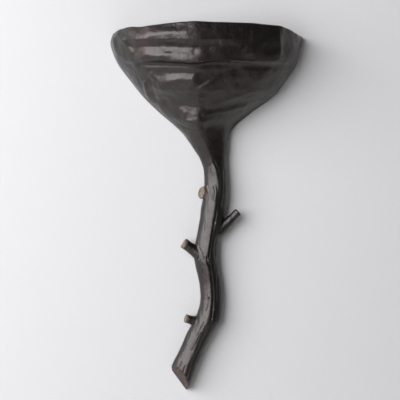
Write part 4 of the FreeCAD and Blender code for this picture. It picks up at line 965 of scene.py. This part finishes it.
def white_porcelain():
    """Glazed white porcelain: warm white with a few tiny iron specks under the glaze."""
    material, tree, shader, place = start_material("glazed_white_porcelain")
    speck = add(tree, "ShaderNodeTexNoise", {"Scale": per_mm(1.2), "Detail": 2.0}, {"Vector": place})
    where = add(
        tree, "ShaderNodeMapRange", {"From Min": 0.68, "From Max": 0.74, "To Min": 0.0, "To Max": 0.5},
        {"Value": speck.outputs["Fac"]},
    )
    tone = add(
        tree, "ShaderNodeMix", {"data_type": "RGBA", MIX_A: linear("#ece8de"), MIX_B: linear("#a89c86")},
        {0: where.outputs["Result"]},
    )
    shader.inputs["Roughness"].default_value = 0.16
    tree.links.new(tone.outputs[MIX_OUT], shader.inputs["Base Color"])
    return material


# compression-moulded phenolic: deep black, satin, faint flow marks
phenolic = clouded("moulded_black_phenolic", 8, 4.0, "#151413", "#262321", 0.26, 0.4, distortion=1.2)
# nickel-plated brass sheet, rolled: warm grey, fine haze
nickel = clouded("nickel_plated_sheet", 4, 4.0, "#b3b0a8", "#d2cfc7", 0.16, 0.3, metallic=1.0)
dress(phenolic, "lampholder_cap", "lampholder_body")
dress(white_porcelain(), "lampholder_insert")
dress(nickel, "lampholder_sleeve", "bulb_cap")
dress(brass, "lampholder_contact")

# ---------------------------------------------------------------------------
# Bulb. A clear blown globe with four yellow filament rods on a glass mount, a
# rolled nickel-plated cap, a black glass insulator and a blob of solder.


def blown_glass():
    """Clear soda-lime glass, faintly green at its edges."""
    material, tree, shader, place = start_material("clear_blown_glass")
    shader.inputs["Base Color"].default_value = linear("#f4f8f5")
    shader.inputs["Transmission Weight"].default_value = 1.0
    shader.inputs["IOR"].default_value = 1.46
    film = add(tree, "ShaderNodeTexNoise", {"Scale": per_mm(12), "Detail": 3.0}, {"Vector": place})
    dull = add(
        tree, "ShaderNodeMapRange", {"From Min": 0.4, "From Max": 0.8, "To Min": 0.0, "To Max": 0.06},
        {"Value": film.outputs["Fac"]},
    )
    tree.links.new(dull.outputs["Result"], shader.inputs["Roughness"])
    return material


# silicone loaded with yellow phosphor, unlit: matt yolk yellow, slightly grainy
phosphor = clouded("yellow_phosphor_silicone", 0.6, 3.0, "#d9a52c", "#efc65a", 0.55)
# pressed black glass of the cap's insulator
black_glass = clouded("pressed_black_glass", 1.5, 2.0, "#0d0d12", "#1c1c24", 0.1)
# soft solder and tinned copper: dull silver, dimpled as it froze
solder = clouded("soft_solder", 1.0, 3.0, "#9d9e9d", "#c6c6c3", 0.38, metallic=1.0, bump=(0.3, 0.0002))
dress(blown_glass(), "bulb_glass", "bulb_mount")
dress(phosphor, "bulb_filaments")
dress(black_glass, "bulb_insulator")
dress(solder, "bulb_tip")

# ---------------------------------------------------------------------------
# Wiring. A three-way polyamide block with brass clamps on the back plate, brown
# and blue leads to the lampholder and a green and yellow lead to the earth screw.


def earth_sleeve():
    """Green PVC with a yellow stripe that winds slowly round it."""
    material, tree, shader, place = start_material("green_and_yellow_pvc")
    stripe = add(
        tree, "ShaderNodeTexWave", {"Scale": wave_mm(5), "Distortion": 0.0, "bands_direction": "DIAGONAL"},
        {"Vector": place},
    )
    edge = add(
        tree, "ShaderNodeMapRange", {"From Min": 0.6, "From Max": 0.66, "To Min": 0.0, "To Max": 1.0},
        {"Value": stripe.outputs["Fac"]},
    )
    tone = add(
        tree, "ShaderNodeMix", {"data_type": "RGBA", MIX_A: linear("#2f7a35"), MIX_B: linear("#d9c92e")},
        {0: edge.outputs["Result"]},
    )
    shader.inputs["Roughness"].default_value = 0.4
    tree.links.new(tone.outputs[MIX_OUT], shader.inputs["Base Color"])
    return material


# moulded polyamide: off-white, lightly translucent, satin
polyamide = clouded("off_white_polyamide", 10, 3.0, "#dedad0", "#efece4", 0.45)
# extruded PVC insulation: satin, with a faint cloudy tone
brown_sleeve = clouded("brown_pvc", 2.5, 3.0, "#5a3823", "#6e472e", 0.4)
blue_sleeve = clouded("blue_pvc", 2.5, 3.0, "#25589c", "#3569ad", 0.4)
dress(polyamide, "terminal_block")
dress(brass, "terminal_clamps", "earth_screw")
dress(zinc, "terminal_screws", "terminal_block_screw")
dress(solder, "earth_tag")
dress(brown_sleeve, "live_lead")
dress(blue_sleeve, "neutral_lead")
dress(earth_sleeve(), "earth_lead")

# ---------------------------------------------------------------------------
# Room. A plain pale wall that the sconce hangs on and a pale floor below it, lit by
# two soft windows to the left. The rest of the room is dim air.

# All in metres. The paint's face is a hair behind the wall plane, so that what touches
# the wall doesn't share its surface. Wall and floor meet in a rounded corner.
WALL_WIDE, WALL_HIGH, WALL_GAP = 9.0, 3.2, 0.0006
GROUND_LEVEL, GROUND_DEEP = -1.75, 3.6
CORNER_RADIUS, CORNER_STEPS = 0.5, 12


def pale_room():
    """Wall and floor in one sheet with a rounded corner."""
    mesh = bmesh.new()
    profile = [(0.0, WALL_HIGH)]
    for k in range(CORNER_STEPS + 1):
        turn = math.pi / 2 * k / CORNER_STEPS
        inward = CORNER_RADIUS * (math.cos(turn) - 1)
        profile.append((inward, GROUND_LEVEL + CORNER_RADIUS * (1 - math.sin(turn))))
    profile.append((-GROUND_DEEP, GROUND_LEVEL))
    rows = []
    for x in (-WALL_WIDE / 2, WALL_WIDE / 2):
        rows.append([mesh.verts.new((x, y + WALL_GAP, z)) for y, z in profile])
    for k in range(len(profile) - 1):
        mesh.faces.new([rows[0][k], rows[0][k + 1], rows[1][k + 1], rows[1][k]])
    return finish_mesh(mesh, "pale_room")


def wall_paint():
    """Matt emulsion paint, almost white; from behind the wall lets the eye and the light through."""
    material, tree, shader, place = start_material("matt_wall_paint")
    roller = add(tree, "ShaderNodeTexNoise", {"Scale": per_mm(4), "Detail": 3.0}, {"Vector": place})
    bump = add(
        tree, "ShaderNodeBump", {"Strength": 0.06, "Distance": 0.0004}, {"Height": roller.outputs["Fac"]},
    )
    shader.inputs["Base Color"].default_value = linear("#e6e5e4")
    shader.inputs["Roughness"].default_value = 0.85
    tree.links.new(bump.outputs["Normal"], shader.inputs["Normal"])
    clear = add(tree, "ShaderNodeBsdfTransparent")
    behind = add(tree, "ShaderNodeNewGeometry").outputs["Backfacing"]
    through = add(tree, "ShaderNodeMixShader", {}, {0: behind, 1: shader.outputs[0], 2: clear.outputs[0]})
    output = next(item for item in tree.nodes if item.type == "OUTPUT_MATERIAL")
    tree.links.new(through.outputs[0], output.inputs["Surface"])
    return material


room = pale_room()
room.data.materials.append(wall_paint())

world = bpy.data.worlds.new("studio_air")
bpy.context.scene.world = world
world.use_nodes = True
air = world.node_tree.nodes["Background"]
air.inputs["Color"].default_value = linear("#f2f2f4")
# the rest of the room is dim where it lights the sconce, a trace less dim where it shines in
# the bronze, and pale where it is seen
DIM_AIR, PALE_AIR, SHINE_SHARE = 0.08, 0.8, 0.02
air_tree = world.node_tree
ray = add(air_tree, "ShaderNodeLightPath").outputs
seen = add(
    air_tree, "ShaderNodeMath", {"operation": "ADD"},
    {0: ray["Is Camera Ray"], 1: ray["Is Transmission Ray"]},
)
seen_or_shiny = add(
    air_tree, "ShaderNodeMath", {"operation": "MULTIPLY_ADD", 1: SHINE_SHARE},
    {0: ray["Is Glossy Ray"], 2: seen.outputs[0]},
)
air_strength = add(
    air_tree, "ShaderNodeMapRange", {"To Min": DIM_AIR, "To Max": PALE_AIR},
    {"Value": seen_or_shiny.outputs[0]},
)
air_tree.links.new(air_strength.outputs["Result"], air.inputs["Strength"])

# Both windows face the sconce and let in the same cool daylight.
WINDOW_AIM = Vector((0, 0, -0.1))
DAYLIGHT = "#fafbff"
# name, place, width, height, watts
WINDOWS = [
    ("left_window", (-1.6, -1.75, 0.35), 2.6, 2.1, 82),
    ("side_window", (-2.3, -0.62, 0.3), 1.1, 1.9, 9),
]
for name, spot, wide, high, watts in WINDOWS:
    lamp = bpy.data.lights.new(name, "AREA")
    lamp.shape = "RECTANGLE"
    lamp.size, lamp.size_y = wide, high
    lamp.energy = watts
    lamp.color = linear(DAYLIGHT)[:3]
    window = bpy.data.objects.new(name, lamp)
    bpy.context.scene.collection.objects.link(window)
    window.location = spot
    window.visible_camera = False
    window.rotation_euler = (WINDOW_AIM - Vector(spot)).to_track_quat("-Z", "Y").to_euler()

# ---------------------------------------------------------------------------
# Camera. Level with the middle of the sconce, 1.6 m from the wall.

# place in metres, sensor and lens in millimetres
CAMERA_SPOT = (-0.011, -1.6, -0.187)
SENSOR_WIDTH, LENS = 36, 90.72
camera_data = bpy.data.cameras.new("photo_camera")
camera_data.sensor_width = SENSOR_WIDTH
camera_data.lens = LENS
camera = bpy.data.objects.new("photo_camera", camera_data)
bpy.context.scene.collection.objects.link(camera)
camera.location = CAMERA_SPOT
camera.rotation_euler = (math.pi / 2, 0, 0)
bpy.context.scene.camera = camera
bpy.context.scene.view_settings.view_transform = "Standard"
